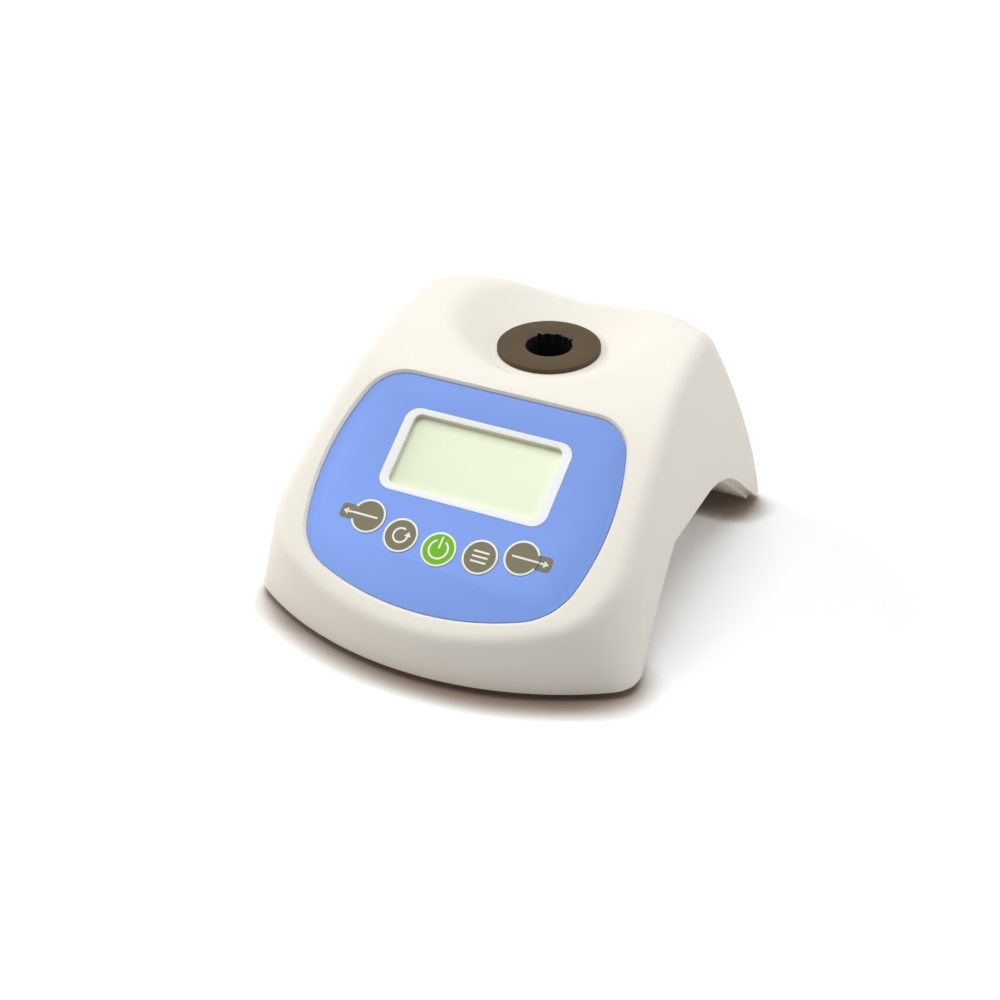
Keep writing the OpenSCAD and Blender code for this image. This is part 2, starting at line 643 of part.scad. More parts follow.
upper_shell();
base_cover();
panel_overlay();
display_border();
display_glass();
display_holder();
display_glow();
keypad_board();
keypad_screws();
key_switches();
key_far_left();
key_left();
key_power();
key_right();
key_far_right();
socket_insert();
socket_nut();
optical_block();
block_screws();
lamp();
beam_filter();
detector();
lamp_wires();
detector_wires();
main_board();
board_parts();
board_screws();
ribbon_cable();
dc_inlet();
inlet_nut();
inlet_wires();
case_screws();
foot_front_left();
foot_front_right();
foot_rear_left();
foot_rear_right();
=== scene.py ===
# Bench photometer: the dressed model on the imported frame.
# Frame: metres, X to the right, Y to the back, Z up, origin on the table under the middle of the body.

from math import asin, atan2, cos, hypot, pi, radians, remainder, sin, sqrt, tan

import bmesh
import bpy
from bpy.props import FloatProperty, FloatVectorProperty, PointerProperty
from bpy.types import NodeSocket, Operator, Panel, PropertyGroup
from mathutils import Matrix, Vector


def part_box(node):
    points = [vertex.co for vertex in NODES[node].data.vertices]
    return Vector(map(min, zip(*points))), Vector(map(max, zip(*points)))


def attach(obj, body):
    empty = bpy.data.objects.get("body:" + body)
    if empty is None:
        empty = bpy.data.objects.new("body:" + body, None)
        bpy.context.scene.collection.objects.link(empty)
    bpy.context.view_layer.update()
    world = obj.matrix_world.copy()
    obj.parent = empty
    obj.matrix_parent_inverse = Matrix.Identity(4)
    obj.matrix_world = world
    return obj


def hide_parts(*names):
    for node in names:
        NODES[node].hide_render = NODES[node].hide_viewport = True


bl_info = {
    "name": "Bench photometer",
    "version": (1, 0, 0),
    "blender": (4, 5, 0),
    "location": "View3D > Sidebar > Photometer",
    "description": "Builds the casing, panel, keys, socket and stage of a bench photometer",
    "category": "Add Mesh",
}

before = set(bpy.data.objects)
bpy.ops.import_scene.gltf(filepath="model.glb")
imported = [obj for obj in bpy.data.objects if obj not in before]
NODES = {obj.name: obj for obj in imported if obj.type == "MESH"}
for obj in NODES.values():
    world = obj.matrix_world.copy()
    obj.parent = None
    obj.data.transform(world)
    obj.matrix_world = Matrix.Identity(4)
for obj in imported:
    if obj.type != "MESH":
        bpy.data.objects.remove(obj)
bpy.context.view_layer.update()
FEET = ("foot_front_left", "foot_front_right", "foot_rear_left", "foot_rear_right")
KEYS = ("key_far_left", "key_left", "key_power", "key_right", "key_far_right")


def srgb(r, g, b):
    """Linear colour from screen values of 0 to 255."""
    parts = [c / 255 for c in (r, g, b)]
    return tuple(c / 12.92 if c <= 0.04045 else ((c + 0.055) / 1.055) ** 2.4 for c in parts)


def size(label, text, default):
    return FloatProperty(
        name=label, description=text, default=default, unit="LENGTH", subtype="DISTANCE", precision=5)


def slope(label, text, degrees):
    return FloatProperty(
        name=label, description=text, default=radians(degrees), unit="ROTATION", subtype="ANGLE")


def share(label, text, default):
    return FloatProperty(name=label, description=text, default=default, precision=4)


def hue(label, text, rgb):
    return FloatVectorProperty(
        name=label, description=text, default=srgb(*rgb), subtype="COLOR", size=3, min=0, max=1)


# Sizes and colours

SHELL_LOW, SHELL_HIGH = (Vector(c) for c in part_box("upper_shell"))
INSERT_LOW, INSERT_HIGH = (Vector(c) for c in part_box("socket_insert"))
INLET_LOW, INLET_HIGH = (Vector(c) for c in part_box("dc_inlet"))


class PHOTOMETER_PG_body(PropertyGroup):
    width: size("Width", "Across the front corners", SHELL_HIGH.x - SHELL_LOW.x)
    depth: size("Depth", "From front to back", SHELL_HIGH.y - SHELL_LOW.y)
    height: size("Height", "Top of the hump", 0.08439)
    wall: size("Wall", "Casing wall at the panel", 0.0034)
    sole_gap: size("Sole gap", "Gap under the lower edge", 0.0025)
    tilt: slope("Panel tilt", "Tilt of the panel face", 33.7)
    front_h: size("Front height", "Panel face at the front", 0.0208)
    edge_r: size("Edge rounding", "Upper edge", 0.0055)
    crown_r: size("Crown radius", "Crowned top", 0.118)
    bow_r: size("Front bow", "Radius of the front", 0.125)
    corner_top: size("Upper corner", "Front corners in plan at the upper edge", 0.028)
    corner_low: size("Lower corner", "Front corners in plan at the table", 0.011)
    draft: share("Side lean", "Lean per height", 0.18)
    swell: size("Side swell", "Outward curve of the sides", 0.003)
    rear_bow: size("Back bow", "Bow of the back in plan", 0.0045)
    crest_bow: size("Crest bow", "Further bow of the back at its top", 0.005)
    rear_bulge: size("Back bulge", "Outward curve of the back in side view", 0.0014)
    rear_run: size("Back lean", "Depth taken by the lean", 0.0282)
    ridge_r: size("Ridge rounding", "Ridge above the back", 0.0074)
    arch_h: size("Arch height", "Level ceiling of the arch", 0.0337)
    ramp_start: size("Ramp start", "Behind the front edge", 0.0328)
    ramp_tilt: slope("Ramp slope", "Slope of the ramp", 38.4)
    ramp_r: size("Ramp radius", "Slight curve of the ramp", 0.25)
    arch_back: size("Arch end", "End of the level ceiling before the back", 0.06344)
    arch_r: size("Arch radius", "Arch towards the back", 0.0475)
    arch_tilt: slope("Arch slope", "Down to the rear foot", 41.2)
    cover_t: size("Cover thickness", "Bottom cover", 0.0025)
    band_t: size("Cover band", "Cover seen under the side edge", 0.0022)
    band_in: size("Band setback", "From the casing side", 0.0035)
    voxel: size("Grain of the form", "Cell of the casing's skin", 0.0011)


class PHOTOMETER_PG_panel(PropertyGroup):
    up: size("Display place", "Display centre up the slope from the front edge", 0.065)
    sink: size("Sink", "Panel face under the casing", 0.001)
    film_t: size("Film", "Thickness of the overlay", 0.0008)
    bed_t: size("Bed", "Thickness under the overlay", 0.0016)
    half: size("Half width", "Greatest half width of the panel", 0.0552)
    top: size("Upper edge", "Above the display centre", 0.0287)
    low: size("Lower edge", "Under the display centre", 0.057)
    lip: size("Lip", "Width of the sloped lip", 0.0009)
    gap: size("Film gap", "From film to lip", 0.0004)
    border_w: size("Border width", "White display border", 0.0658)
    border_h: size("Border height", "White display border", 0.0331)
    view_w: size("Opening width", "Display opening", 0.0583)
    view_h: size("Opening height", "Display opening", 0.0285)
    key_d: size("Key diameter", "Each key", 0.0131)
    key_step: size("Key step", "Between neighbouring keys", 0.0155)
    key_arc: size("Key arc", "Radius of the arc of keys", 0.093)
    key_low: size("Key place", "Middle key under the display centre", 0.0334)
    key_rise: size("Key rise", "Keys over the panel", 0.0003)
    ring: size("Ring", "White ring on a key", 0.0008)
    tag_reach: size("Tag reach", "Printed tag from the key centre", 0.0112)
    tag_h: size("Tag height", "Printed tag", 0.0056)
    stroke: size("Sign stroke", "Line width of the signs", 0.0007)


class PHOTOMETER_PG_socket(PropertyGroup):
    axis_y: size("Axis", "Place of the socket axis", (INSERT_LOW.y + INSERT_HIGH.y) / 2)
    flange_r: size("Flange radius", "Socket flange", (INSERT_HIGH.x - INSERT_LOW.x) / 2)
    flange_t: size("Flange", "Thickness of the flange", 0.0019)
    top: size("Flange top", "Height of the flange top", INSERT_HIGH.z)
    foot: size("Neck end", "Lower end of the neck", INSERT_LOW.z)
    bore_r: size("Bore radius", "Tube bore", 0.0086)
    well: size("Well side", "Square well", 0.0127)
    neck_r: size("Neck radius", "Neck under the flange", 0.0115)
    well_floor: size("Well floor", "Thickness of the well floor", 0.003)
    dish_gap: size("Dish floor", "Flat around the flange", 0.0022)
    dish_back: size("Dish place", "Dish centre in front of the axis", 0.001)
    dish_tilt: slope("Dish slope", "Slope of the dish", 32.5)
    rim_soft: size("Rim softness", "Half width of the soft rim", 0.004)


class PHOTOMETER_PG_finish(PropertyGroup):
    casing: hue("Casing", "Off-white moulded casing", (236, 231, 222))
    cover: hue("Cover", "Bottom cover", (226, 219, 205))
    film: hue("Film", "Blue overlay film", (128, 159, 233))
    border: hue("Border", "White display border", (240, 241, 243))
    display: hue("Display", "Pale green display", (226, 236, 208))
    key: hue("Key", "Grey-brown key", (126, 121, 98))
    power: hue("Power key", "Green key", (116, 184, 36))
    sign: hue("Sign", "White print", (240, 240, 238))
    socket: hue("Socket", "Dark brown socket", (82, 67, 47))
    # Painted shade: near-black for the inside of the bore, well and notches, where the deep hole lies in shade
    bore: hue("Bore", "Black of the bore", (9, 9, 9))
    # Painted shade: the wall of the display opening gets a darker, warmer copy of the border's white
    wall: hue("Window wall", "Wall of the display opening", (226, 218, 204))
    rubber: hue("Rubber", "Feet", (34, 33, 32))
    steel: hue("Steel", "Screws", (176, 176, 174))
    jack: hue("Inlet", "Black inlet", (28, 28, 29))


class PHOTOMETER_PG_stage(PropertyGroup):
    eye: FloatVectorProperty(
        name="Eye", description="Place of the camera", default=(0.2613, -0.5263, 0.4034),
        size=3, subtype="XYZ", unit="LENGTH")
    azimuth: slope("Azimuth", "Viewing angle around the object", 26.86)
    elevation: slope("Elevation", "Viewing angle over the table", 32.82)
    roll: slope("Roll", "Turn of the picture", -0.58)
    lens: share("Lens", "Focal length in millimetres", 67.73)
    sky: share("Sky", "Level of the even light", 0.03)
    ceiling: share("Ceiling light", "Power of the light above", 12.0)
    left: share("Left light", "Power of the light at the left", 6.8)
    front: share("Front light", "Power of the light at the front", 2.8)
    right: share("Right light", "Power of the light at the right", 4.0)
    # Painted shadow: the brown that the floor's colour is darkened to close to the object
    shadow: hue("Contact shadow", "Brown tone of the floor close to the object", (122, 92, 64))
    floor: hue("Floor", "Pale floor", (246, 246, 246))


# Form of the body

FULL_TURN = 2 * pi
QUARTER = pi / 2
CORNER_IN = 0.0195  # end of the crest inside the widest side
SIDE_IN, SIDE_TAPER, WIDEST = 0.001, 0.025, 0.025  # side line: inset, narrowing per depth, start behind the front
BOW_IN = 0.005  # end of the back's bow inside the widest side
REAR_R, REAR_R_GROWTH = 0.003, 0.0083  # rear corner at the table, and its growth to the top
REAR_TURN = radians(80)
MIN_R = 0.001
SHOULDER, SIDE_RUN = 0.04, 0.09  # start and length of the flat sides
EDGE_FALL = 0.0003  # fall of the upper edge along the front corner
PANEL_SIDE_R, PANEL_TOP_R, PANEL_LOW_R, PANEL_CORNER_R = 0.094, 0.0153, 0.108, 0.023
PANEL_WIDEST = -0.0103  # from the display centre
PANEL_BED = 0.002  # flat of the casing around the panel
KEY_TURN = radians(14.5)
REAR_TOP = 0.93  # share of the height that the lines of the back reach
RIDGE_STEP = 0.004
INNER_LIFT = 0.001  # cover over the lower edge


def arc(cx, cy, r, a0, a1, n):
    """Points on an arc, angles in radians."""
    angles = [a0 + (a1 - a0) * i / n for i in range(n + 1)]
    return [(cx + r * cos(a), cy + r * sin(a)) for a in angles]


def circle(cx, cy, r, n):
    return arc(cx, cy, r, 0, FULL_TURN, n)[:-1]


def mirrored(right):
    return [(-x, y) for x, y in reversed(right)]


def level(outline, z):
    return [(x, y, z) for x, y in outline]


def bearing(a, b):
    return atan2(b.y - a.y, b.x - a.x)


def ball_points():
    bm = bmesh.new()
    bmesh.ops.create_icosphere(bm, subdivisions=3, radius=1)
    pts = [v.co.copy() for v in bm.verts]
    bm.free()
    return pts


def ball(x, y, z, r, unit):
    return [(x + u.x * r, y + u.y * r, z + u.z * r) for u in unit]


class Form:
    """Curves and places that follow from the sizes."""

    def __init__(self):
        scene = bpy.context.scene
        self.b = b = scene.photometer_body
        self.p = p = scene.photometer_panel
        self.s = s = scene.photometer_socket
        self.front, self.back, self.sole = -b.depth / 2, b.depth / 2, b.sole_gap
        slope_sin, self.cos, self.tan = sin(b.tilt), cos(b.tilt), tan(b.tilt)
        self.bow_y = self.front + b.bow_r
        self.corner_x = b.width / 2 - CORNER_IN
        self.crown_z = b.height - b.crown_r
        self.crown_y = self.front + (b.crown_r / self.cos + self.crown_z - b.front_h) / self.tan
        panel_y = self.front + p.up * self.cos + p.sink * slope_sin
        panel_z = b.front_h + p.up * slope_sin - p.sink * self.cos
        self.on_panel = Matrix.Translation((0, panel_y, panel_z)) @ Matrix.Rotation(b.tilt, 4, "X")
        ramp_sin, ramp_cos = sin(b.ramp_tilt), cos(b.ramp_tilt)
        half = (b.arch_h - self.sole) / ramp_sin / 2
        inset = sqrt(b.ramp_r ** 2 - half ** 2)
        self.ramp_cy = self.front + b.ramp_start + half * ramp_cos + inset * ramp_sin
        self.ramp_cz = self.sole + half * ramp_sin - inset * ramp_cos
        self.arc_y = self.back - b.arch_back
        self.floor_z = s.top - s.flange_t
        self.bed = -p.film_t
        self.under = self.bed - p.bed_t
        self.inner_z = self.sole + INNER_LIFT

    def rise(self, z):
        return (z - self.sole) / (self.b.height - self.sole)

    def side_x(self, y, z):
        b, t = self.b, self.rise(z)
        taper = SIDE_TAPER * (y - self.front - WIDEST)
        return b.width / 2 - SIDE_IN - taper - b.draft * (z - self.sole) + 4 * b.swell * t * (1 - t)

    def rear_y(self, z, x):
        b, t = self.b, self.rise(z)
        bow = b.rear_bow * (x / (b.width / 2 - BOW_IN)) ** 2
        bow -= b.crest_bow * t * (1 - (x / self.corner_x) ** 2)
        return self.back - b.rear_run * t + 4 * b.rear_bulge * t * (1 - t) - bow

    def face_z(self, y, r):
        return self.b.front_h + (y - self.front) * self.tan - r / self.cos

    def rear_half(self, z, d):
        """Back of the plan from the right corner to the middle, set in by d."""
        r = REAR_R + REAR_R_GROWTH * self.rise(z) ** 2
        cx = self.side_x(self.rear_y(z, self.corner_x), z) - r
        cy = self.rear_y(z, cx) - r
        back = [(cx * i / 12, self.rear_y(z, cx * i / 12) - d) for i in range(11, -1, -1)]
        return arc(cx, cy, r - d, 0, REAR_TURN, 10) + back

    def bow_corner(self, reach, x):
        """Place and bearing of a front corner's centre, at reach from the centre of the bow."""
        y = self.bow_y - sqrt(reach ** 2 - x * x)
        return y, atan2(y - self.bow_y, x)

    def sole_plan(self, d):
        b = self.b
        r, bow = max(b.corner_low - d, MIN_R), b.bow_r - d
        cx = b.width / 2 - d - r
        cy, a = self.bow_corner(bow - r, cx)
        right = arc(0, self.bow_y, bow, -QUARTER, a, 24) + arc(cx, cy, r, a, 0, 14)
        right += self.rear_half(self.sole, d)
        return right + mirrored(right)[1:-1]

    def rails(self):
        """Centres of the balls along the upper edge, right half."""
        b, r = self.b, self.b.edge_r
        y = self.front + SHOULDER
        cx = self.side_x(y, self.face_z(y, 0)) - b.corner_top
        cy, a = self.bow_corner(b.bow_r - b.corner_top, cx)
        pts = [(x, y, self.face_z(y, r)) for x, y in arc(0, self.bow_y, b.bow_r - r, -QUARTER, a, 14)]
        for i, (x, y) in enumerate(arc(cx, cy, b.corner_top - r, a, 0, 14)):
            pts.append((x, y, self.face_z(y, r) - EDGE_FALL * i / 14))
        for i in range(25):
            t = b.tilt * (1 - i / 24)
            y = self.crown_y - (b.crown_r - r) * sin(t)
            z = self.crown_z + (b.crown_r - r) * cos(t)
            y = min(y, self.rear_y(z, self.corner_x) - r)
            pts.append((self.side_x(y, z) - r, y, z))
        return pts

    def panel_line(self, g):
        """Outline of the panel, grown by g: four arcs on each side that run into one another."""
        p = self.p
        rs, rt, rb, rc = PANEL_SIDE_R, PANEL_TOP_R, PANEL_LOW_R, PANEL_CORNER_R
        cs = Vector((p.half - rs, PANEL_WIDEST))
        cb = Vector((0, rb - p.low))
        ct = Vector((cs.x + sqrt((rs - rt) ** 2 - (p.top - rt - cs.y) ** 2), p.top - rt))
        d = (cb - cs).length
        m = ((rs - rc) ** 2 - (rb - rc) ** 2 + d * d) / (2 * d)
        h = sqrt((rs - rc) ** 2 - m * m)
        u = (cb - cs) / d
        cc = cs + m * u + h * Vector((u.y, -u.x))
        a1, a2, a3 = bearing(cs, ct), bearing(cs, cc), bearing(cb, cc)
        right = arc(ct.x, ct.y, rt + g, QUARTER, a1, 20) + arc(cs.x, cs.y, rs + g, a1, a2, 26)[1:]
        right += arc(cc.x, cc.y, rc + g, a2, a3, 20)[1:] + arc(cb.x, cb.y, rb + g, a3, -QUARTER, 18)[1:]
        return right + mirrored(right)[1:]

    def on_key(self, i):
        """Place of a key, counted from the middle one, on the keys' arc."""
        p = self.p
        u = p.key_step * sin(KEY_TURN * i) / sin(KEY_TURN)
        v = -p.key_low + p.key_arc - sqrt(p.key_arc ** 2 - u * u)
        return self.on_panel @ Matrix.Translation((u, v, 0))

    def arch_line(self, t, z):
        """Side view of the arch, moved up by t, with both ends at height z."""
        b = self.b
        line = []
        for i in range(13):
            zz = z + (b.arch_h + t - z) * i / 12
            line.append((self.ramp_cy - sqrt((b.ramp_r + t) ** 2 - (zz - self.ramp_cz) ** 2), zz))
        bend = arc(self.arc_y, b.arch_h - b.arch_r, b.arch_r + t, QUARTER, QUARTER - b.arch_tilt, 36)
        y, end = bend[-1]
        return line + bend + [(y + (end - z) / tan(b.arch_tilt), z)]

    def dish_z(self, x, y, g):
        """Height of the conical dish around the socket, grown by g."""
        s = self.s
        run = hypot(x, y - s.axis_y + s.dish_back) - s.flange_r - s.dish_gap - g
        return self.floor_z - g + max(run, 0) * tan(s.dish_tilt)

    def body_points(self, d):
        """Cloud of points whose hull is the outer form, set in by d."""
        b, p = self.b, self.p
        unit = ball_points()
        pts = level(self.sole_plan(d), self.sole)
        for x, y, z in self.rails():
            pts += ball(-x, y, z, b.edge_r - d, unit) + ball(x, y, z, b.edge_r - d, unit)
        pts += [tuple(self.on_panel @ Vector(q)) for q in level(self.panel_line(PANEL_BED), p.sink - d)]
        for i in range(1, 19):
            z = self.sole + REAR_TOP * i / 18 * (b.height - self.sole)
            half = self.rear_half(z, d)
            pts += level(half + mirrored(half), z)
        z = b.height - b.ridge_r
        for i in range(-10, 11):
            x = RIDGE_STEP * i
            pts += ball(x, self.rear_y(z, x) - b.ridge_r, z, b.ridge_r - d, unit)
        for i in range(25):
            y = self.front + SHOULDER + SIDE_RUN * i / 24
            crown = self.crown_z + sqrt((b.crown_r - b.edge_r) ** 2 - (y - self.crown_y) ** 2)
            top = min(self.face_z(y, b.edge_r), crown)
            for k in range(1, 12):
                z = self.sole + (top - self.sole) * k / 12
                x = self.side_x(y, z) - d
                pts += [(x, y, z), (-x, y, z)]
        return pts

    def case_screws(self):
        """Case screws, whose heads bear on the cover from below."""
        right = ((0.03, self.front + 0.02, self.inner_z + 0.001), (self.corner_x, self.arc_y - 0.009, self.b.arch_h))
        return [(sx * x, y, z) for x, y, z in right for sx in (-1, 1)]

    def block_screws(self):
        return [(sx * 0.017, self.s.axis_y + sy * 0.0105, self.b.arch_h) for sx in (-1, 1) for sy in (-1, 1)]


# Mesh helpers

ALONG_X = Matrix(((0, 0, 1, 0), (1, 0, 0, 0), (0, 1, 0, 0), (0, 0, 0, 1)))
ALONG_Y = Matrix(((1, 0, 0, 0), (0, 0, -1, 0), (0, 1, 0, 0), (0, 0, 0, 1))).inverted()
INLET_AT = Matrix.Translation(((INLET_LOW.x + INLET_HIGH.x) / 2, 0, (INLET_LOW.z + INLET_HIGH.z) / 2)) @ ALONG_Y
INLET_SEAT = INLET_HIGH.y - 0.0012  # under the inlet's flange
ON_AXIS = 1e-7


def put(name, data):
    """New object, linked to the scene."""
    obj = bpy.data.objects.new(name, data)
    bpy.context.scene.collection.objects.link(obj)
    return obj


def piece(name, bm, recalc=True):
    """New object from a bmesh, which is used up."""
    if recalc:
        bmesh.ops.recalc_face_normals(bm, faces=bm.faces)
    mesh = bpy.data.meshes.new(name)
    bm.to_mesh(mesh)
    bm.free()
    return put(name, mesh)


def loft(bm, rings, matrix=Matrix(), closed=False, mats=None):
    """Skin through rings of points with equal counts, capped unless the rings close on themselves."""
    mats = mats or [0] * len(rings)
    rows = [[bm.verts.new(matrix @ Vector(q)) for q in ring] for ring in rings]
    n = len(rows[0])
    last = len(rows) if closed else len(rows) - 1
    for i in range(last):
        a, b = rows[i], rows[(i + 1) % len(rows)]
        for k in range(n):
            j = (k + 1) % n
            bm.faces.new((a[k], a[j], b[j], b[k])).material_index = mats[i]
    if not closed:
        bm.faces.new(rows[0][::-1]).material_index = mats[0]
        bm.faces.new(rows[-1]).material_index = mats[-1]


def prism(bm, outline, lo, hi, matrix=Matrix(), mat=0):
    loft(bm, [level(outline, lo), level(outline, hi)], matrix, mats=[mat, mat])


def lathe(bm, profile, n, matrix=Matrix(), mat_of=lambda row, angle: 0):
    """Closed turned form: the profile starts and ends on the axis."""
    rows = []
    for r, z in profile:
        ring = [(0, 0)] if r < ON_AXIS else circle(0, 0, r, n)
        rows.append([bm.verts.new(matrix @ Vector(q)) for q in level(ring, z)])
    for i, (a, b) in enumerate(zip(rows, rows[1:])):
        for k in range(n):
            j = (k + 1) % n
            corners = list(dict.fromkeys((a[k % len(a)], a[j % len(a)], b[j % len(b)], b[k % len(b)])))
            if len(corners) > 2:
                bm.faces.new(corners).material_index = mat_of(i, FULL_TURN * (k + 0.5) / n)


def lofted(name, rows, matrix, closed=False, mats=None):
    """Piece lofted through outlines at their heights."""
    bm = bmesh.new()
    loft(bm, [level(outline, z) for outline, z in rows], matrix, closed, mats)
    return piece(name, bm)


def turned(name, *values):
    bm = bmesh.new()
    lathe(bm, *values)
    return piece(name, bm)


def round_rect(w, h, r, n=8):
    pts = []
    for k, (sx, sy) in enumerate(((1, 1), (-1, 1), (-1, -1), (1, -1))):
        pts += arc(sx * (w / 2 - r), sy * (h / 2 - r), r, QUARTER * k, QUARTER * (k + 1), n)
    return pts


def line_outline(pts, width, n=6):
    """Outline of a drawn line with round ends."""
    pts = [Vector(q) for q in pts]
    left, right = [], []
    for i, q in enumerate(pts):
        d = (pts[min(i + 1, len(pts) - 1)] - pts[max(i - 1, 0)]).normalized()
        side = Vector((-d.y, d.x)) * width / 2
        left.append(tuple(q + side))
        right.append(tuple(q - side))
    d0, d1 = (pts[1] - pts[0]), (pts[-1] - pts[-2])
    a0, a1 = atan2(d0.y, d0.x), atan2(d1.y, d1.x)
    end = arc(pts[-1].x, pts[-1].y, width / 2, a1 + QUARTER, a1 - QUARTER, n)[1:-1]
    start = arc(pts[0].x, pts[0].y, width / 2, a0 - QUARTER, a0 - 3 * QUARTER, n)[1:-1]
    return left + end + right[::-1] + start


def settle(obj):
    """Bakes the modifiers into a plain mesh."""
    graph = bpy.context.evaluated_depsgraph_get()
    mesh = bpy.data.meshes.new_from_object(obj.evaluated_get(graph))
    if not mesh.polygons:
        raise RuntimeError(obj.name + " lost its faces")
    obj.modifiers.clear()
    old, obj.data = obj.data, mesh
    bpy.data.meshes.remove(old)


def carve(obj, tool, operation="DIFFERENCE"):
    """Boolean with a tool object, which is used up."""
    mod = obj.modifiers.new("carve", "BOOLEAN")
    mod.operation, mod.solver, mod.object = operation, "MANIFOLD", tool
    settle(obj)
    bpy.data.meshes.remove(tool.data)


def cut(obj, name, *prisms, operation="DIFFERENCE"):
    """Boolean with prisms, each given by its outline, two heights, and a place and a finish where it has them."""
    bm = bmesh.new()
    for values in prisms:
        prism(bm, *values)
    carve(obj, piece(name, bm), operation)


def soften(obj, rounds):
    mod = obj.modifiers.new("soften", "SMOOTH")
    mod.factor, mod.iterations = 0.5, rounds


def reskin(obj, cell, rounds):
    """Even skin of small cells, softened where rounds are given."""
    mod = obj.modifiers.new("skin", "REMESH")
    mod.mode, mod.voxel_size, mod.adaptivity = "VOXEL", cell, 0
    if rounds:
        soften(obj, rounds)
    settle(obj)


def shade(obj, degrees=36):
    mesh = obj.data
    mesh.polygons.foreach_set("use_smooth", [True] * len(mesh.polygons))
    mesh.set_sharp_from_angle(angle=radians(degrees))
    mesh.update()


def hull_piece(name, points):
    bm = bmesh.new()
    for q in points:
        bm.verts.new(q)
    bmesh.ops.convex_hull(bm, input=bm.verts)
    bmesh.ops.delete(bm, geom=[v for v in bm.verts if not v.link_faces], context="VERTS")
    return piece(name, bm)


def mount(obj, slot, finishes, *nodes, body="casing"):
    """Gives a finished piece its materials and its body, and hides the nodes that it stands for."""
    held = obj.data.materials
    for i, name in enumerate(finishes.split()):
        if i < len(held):
            held[i] = finish(name)
        else:
            held.append(finish(name))
    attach(obj, body)
    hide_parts(*nodes)


# Finishes

# Each finish: colour, darker tone, size of patches and of grain, roughness from and to, bump,
# and where they aren't the usual ones the specular level and the depth of the bump
USUAL = 0.5, 0.00005
COATS = {
    "casing_plastic": ("casing", 0.965, 0.03, 0.0006, 0.5, 0.6, 0.22, 0.4, 0.00006),
    "cover_plastic": ("cover", 0.95, 0.03, 0.0006, 0.5, 0.6, 0.2, 0.5, 0.00006),
    "blue_film": ("film", 0.975, 0.02, 0.0003, 0.55, 0.65, 0.05, 0.15, 0.00003),
    "white_print": ("sign", 0.97, 0.004, 0.0002, 0.55, 0.65, 0.05, 0.2),
    "border_white": ("border", 0.98, 0.01, 0.0003, 0.55, 0.65, 0.05, 0.25),
    # painted shade on the wall of the display opening
    "window_wall": ("wall", 0.9, 0.004, 0.0003, 0.6, 0.7, 0.05, 0.25),
    "pale_display": ("display", 0.985, 0.02, 0.0004, 0.28, 0.34, 0.02, 0.5, 0.00002),
    "grey_key_top": ("key", 0.94, 0.006, 0.00025, 0.55, 0.65, 0.08, 0.2),
    "green_key_top": ("power", 0.94, 0.006, 0.00025, 0.55, 0.65, 0.08, 0.2),
    "socket_brown": ("socket", 0.86, 0.008, 0.0004, 0.5, 0.6, 0.14, 0.15),
    # painted shade inside the socket's bore
    "bore_black": ("bore", 0.8, 0.004, 0.0004, 0.7, 0.8, 0.1, 0.1),
    "inlet_black": ("jack", 0.85, 0.004, 0.0003, 0.35, 0.45, 0.1),
    "foot_rubber": ("rubber", 0.8, 0.003, 0.0003, 0.7, 0.85, 0.25, 0.5, 0.00006),
    "screw_steel": ("steel", 0.85, 0.002, 0.0002, 0.28, 0.42, 0.1, 0.5, 0.00003),
    "board_green": ((24, 78, 48), 0.7, 0.003, 0.0004, 0.35, 0.5, 0.2),
    "block_black": ((30, 30, 31), 0.8, 0.006, 0.0004, 0.55, 0.7, 0.2),
    "holder_grey": ((72, 72, 70), 0.85, 0.006, 0.0004, 0.5, 0.6, 0.15),
    "glow_plate": ((236, 240, 222), 0.95, 0.006, 0.0003, 0.3, 0.4, 0.05),
    "lamp_amber": ((236, 170, 70), 0.9, 0.003, 0.0003, 0.1, 0.2, 0.05),
    "filter_red": ((150, 30, 34), 0.85, 0.003, 0.0003, 0.05, 0.12, 0.03),
    "red_sleeve": ((170, 30, 28), 0.85, 0.003, 0.0003, 0.4, 0.5, 0.1),
    "yellow_sleeve": ((214, 178, 40), 0.85, 0.003, 0.0003, 0.4, 0.5, 0.1),
    "ribbon_grey": ((168, 170, 172), 0.7, 0.001, 0.0003, 0.45, 0.55, 0.1),
    "floor_white": (None, 0.985, 0.5, 0.01, 0.85, 0.95, 0.0),
}
STRETCH = {"screw_steel": (1, 1, 6), "ribbon_grey": (1, 0.1, 0.1)}
EXTRA = {"screw_steel": {"metallic": 1.0}, "pale_display": {"coat_weight": 0.2, "coat_roughness": 0.2}}


def feed(socket, value):
    """Links an input to a node's output, or sets its value."""
    if isinstance(value, NodeSocket):
        socket.id_data.links.new(value, socket)
    else:
        socket.default_value = value


def tune(node, **values):
    """Sets a node's inputs, or its settings, by name."""
    inputs = {s.name.lower().replace(" ", "_"): s for s in reversed(list(node.inputs))}
    for key, value in values.items():
        if key in inputs:
            feed(inputs[key], value)
        else:
            setattr(node, key, value)
    return node


def add_node(tree, kind, **values):
    return tune(tree.nodes.new(kind), **values)


def place_of(tree):
    return add_node(tree, "ShaderNodeTexCoord").outputs["Object"]


def maths(tree, operation, a, b):
    node = add_node(tree, "ShaderNodeMath", operation=operation)
    feed(node.inputs[0], a)
    feed(node.inputs[1], b)
    return node.outputs[0]


def ramp(tree, value, low, high, start, end):
    """Value mapped from low and high to start and end."""
    span = {"from_min": low, "from_max": high, "to_min": start, "to_max": end}
    return add_node(tree, "ShaderNodeMapRange", value=value, **span).outputs["Result"]


def blend(tree, factor, a, b):
    """Colour between a and b."""
    node = add_node(tree, "ShaderNodeMix", data_type="RGBA")
    for i, value in ((0, factor), (6, a), (7, b)):
        feed(node.inputs[i], value)
    return node.outputs[2]


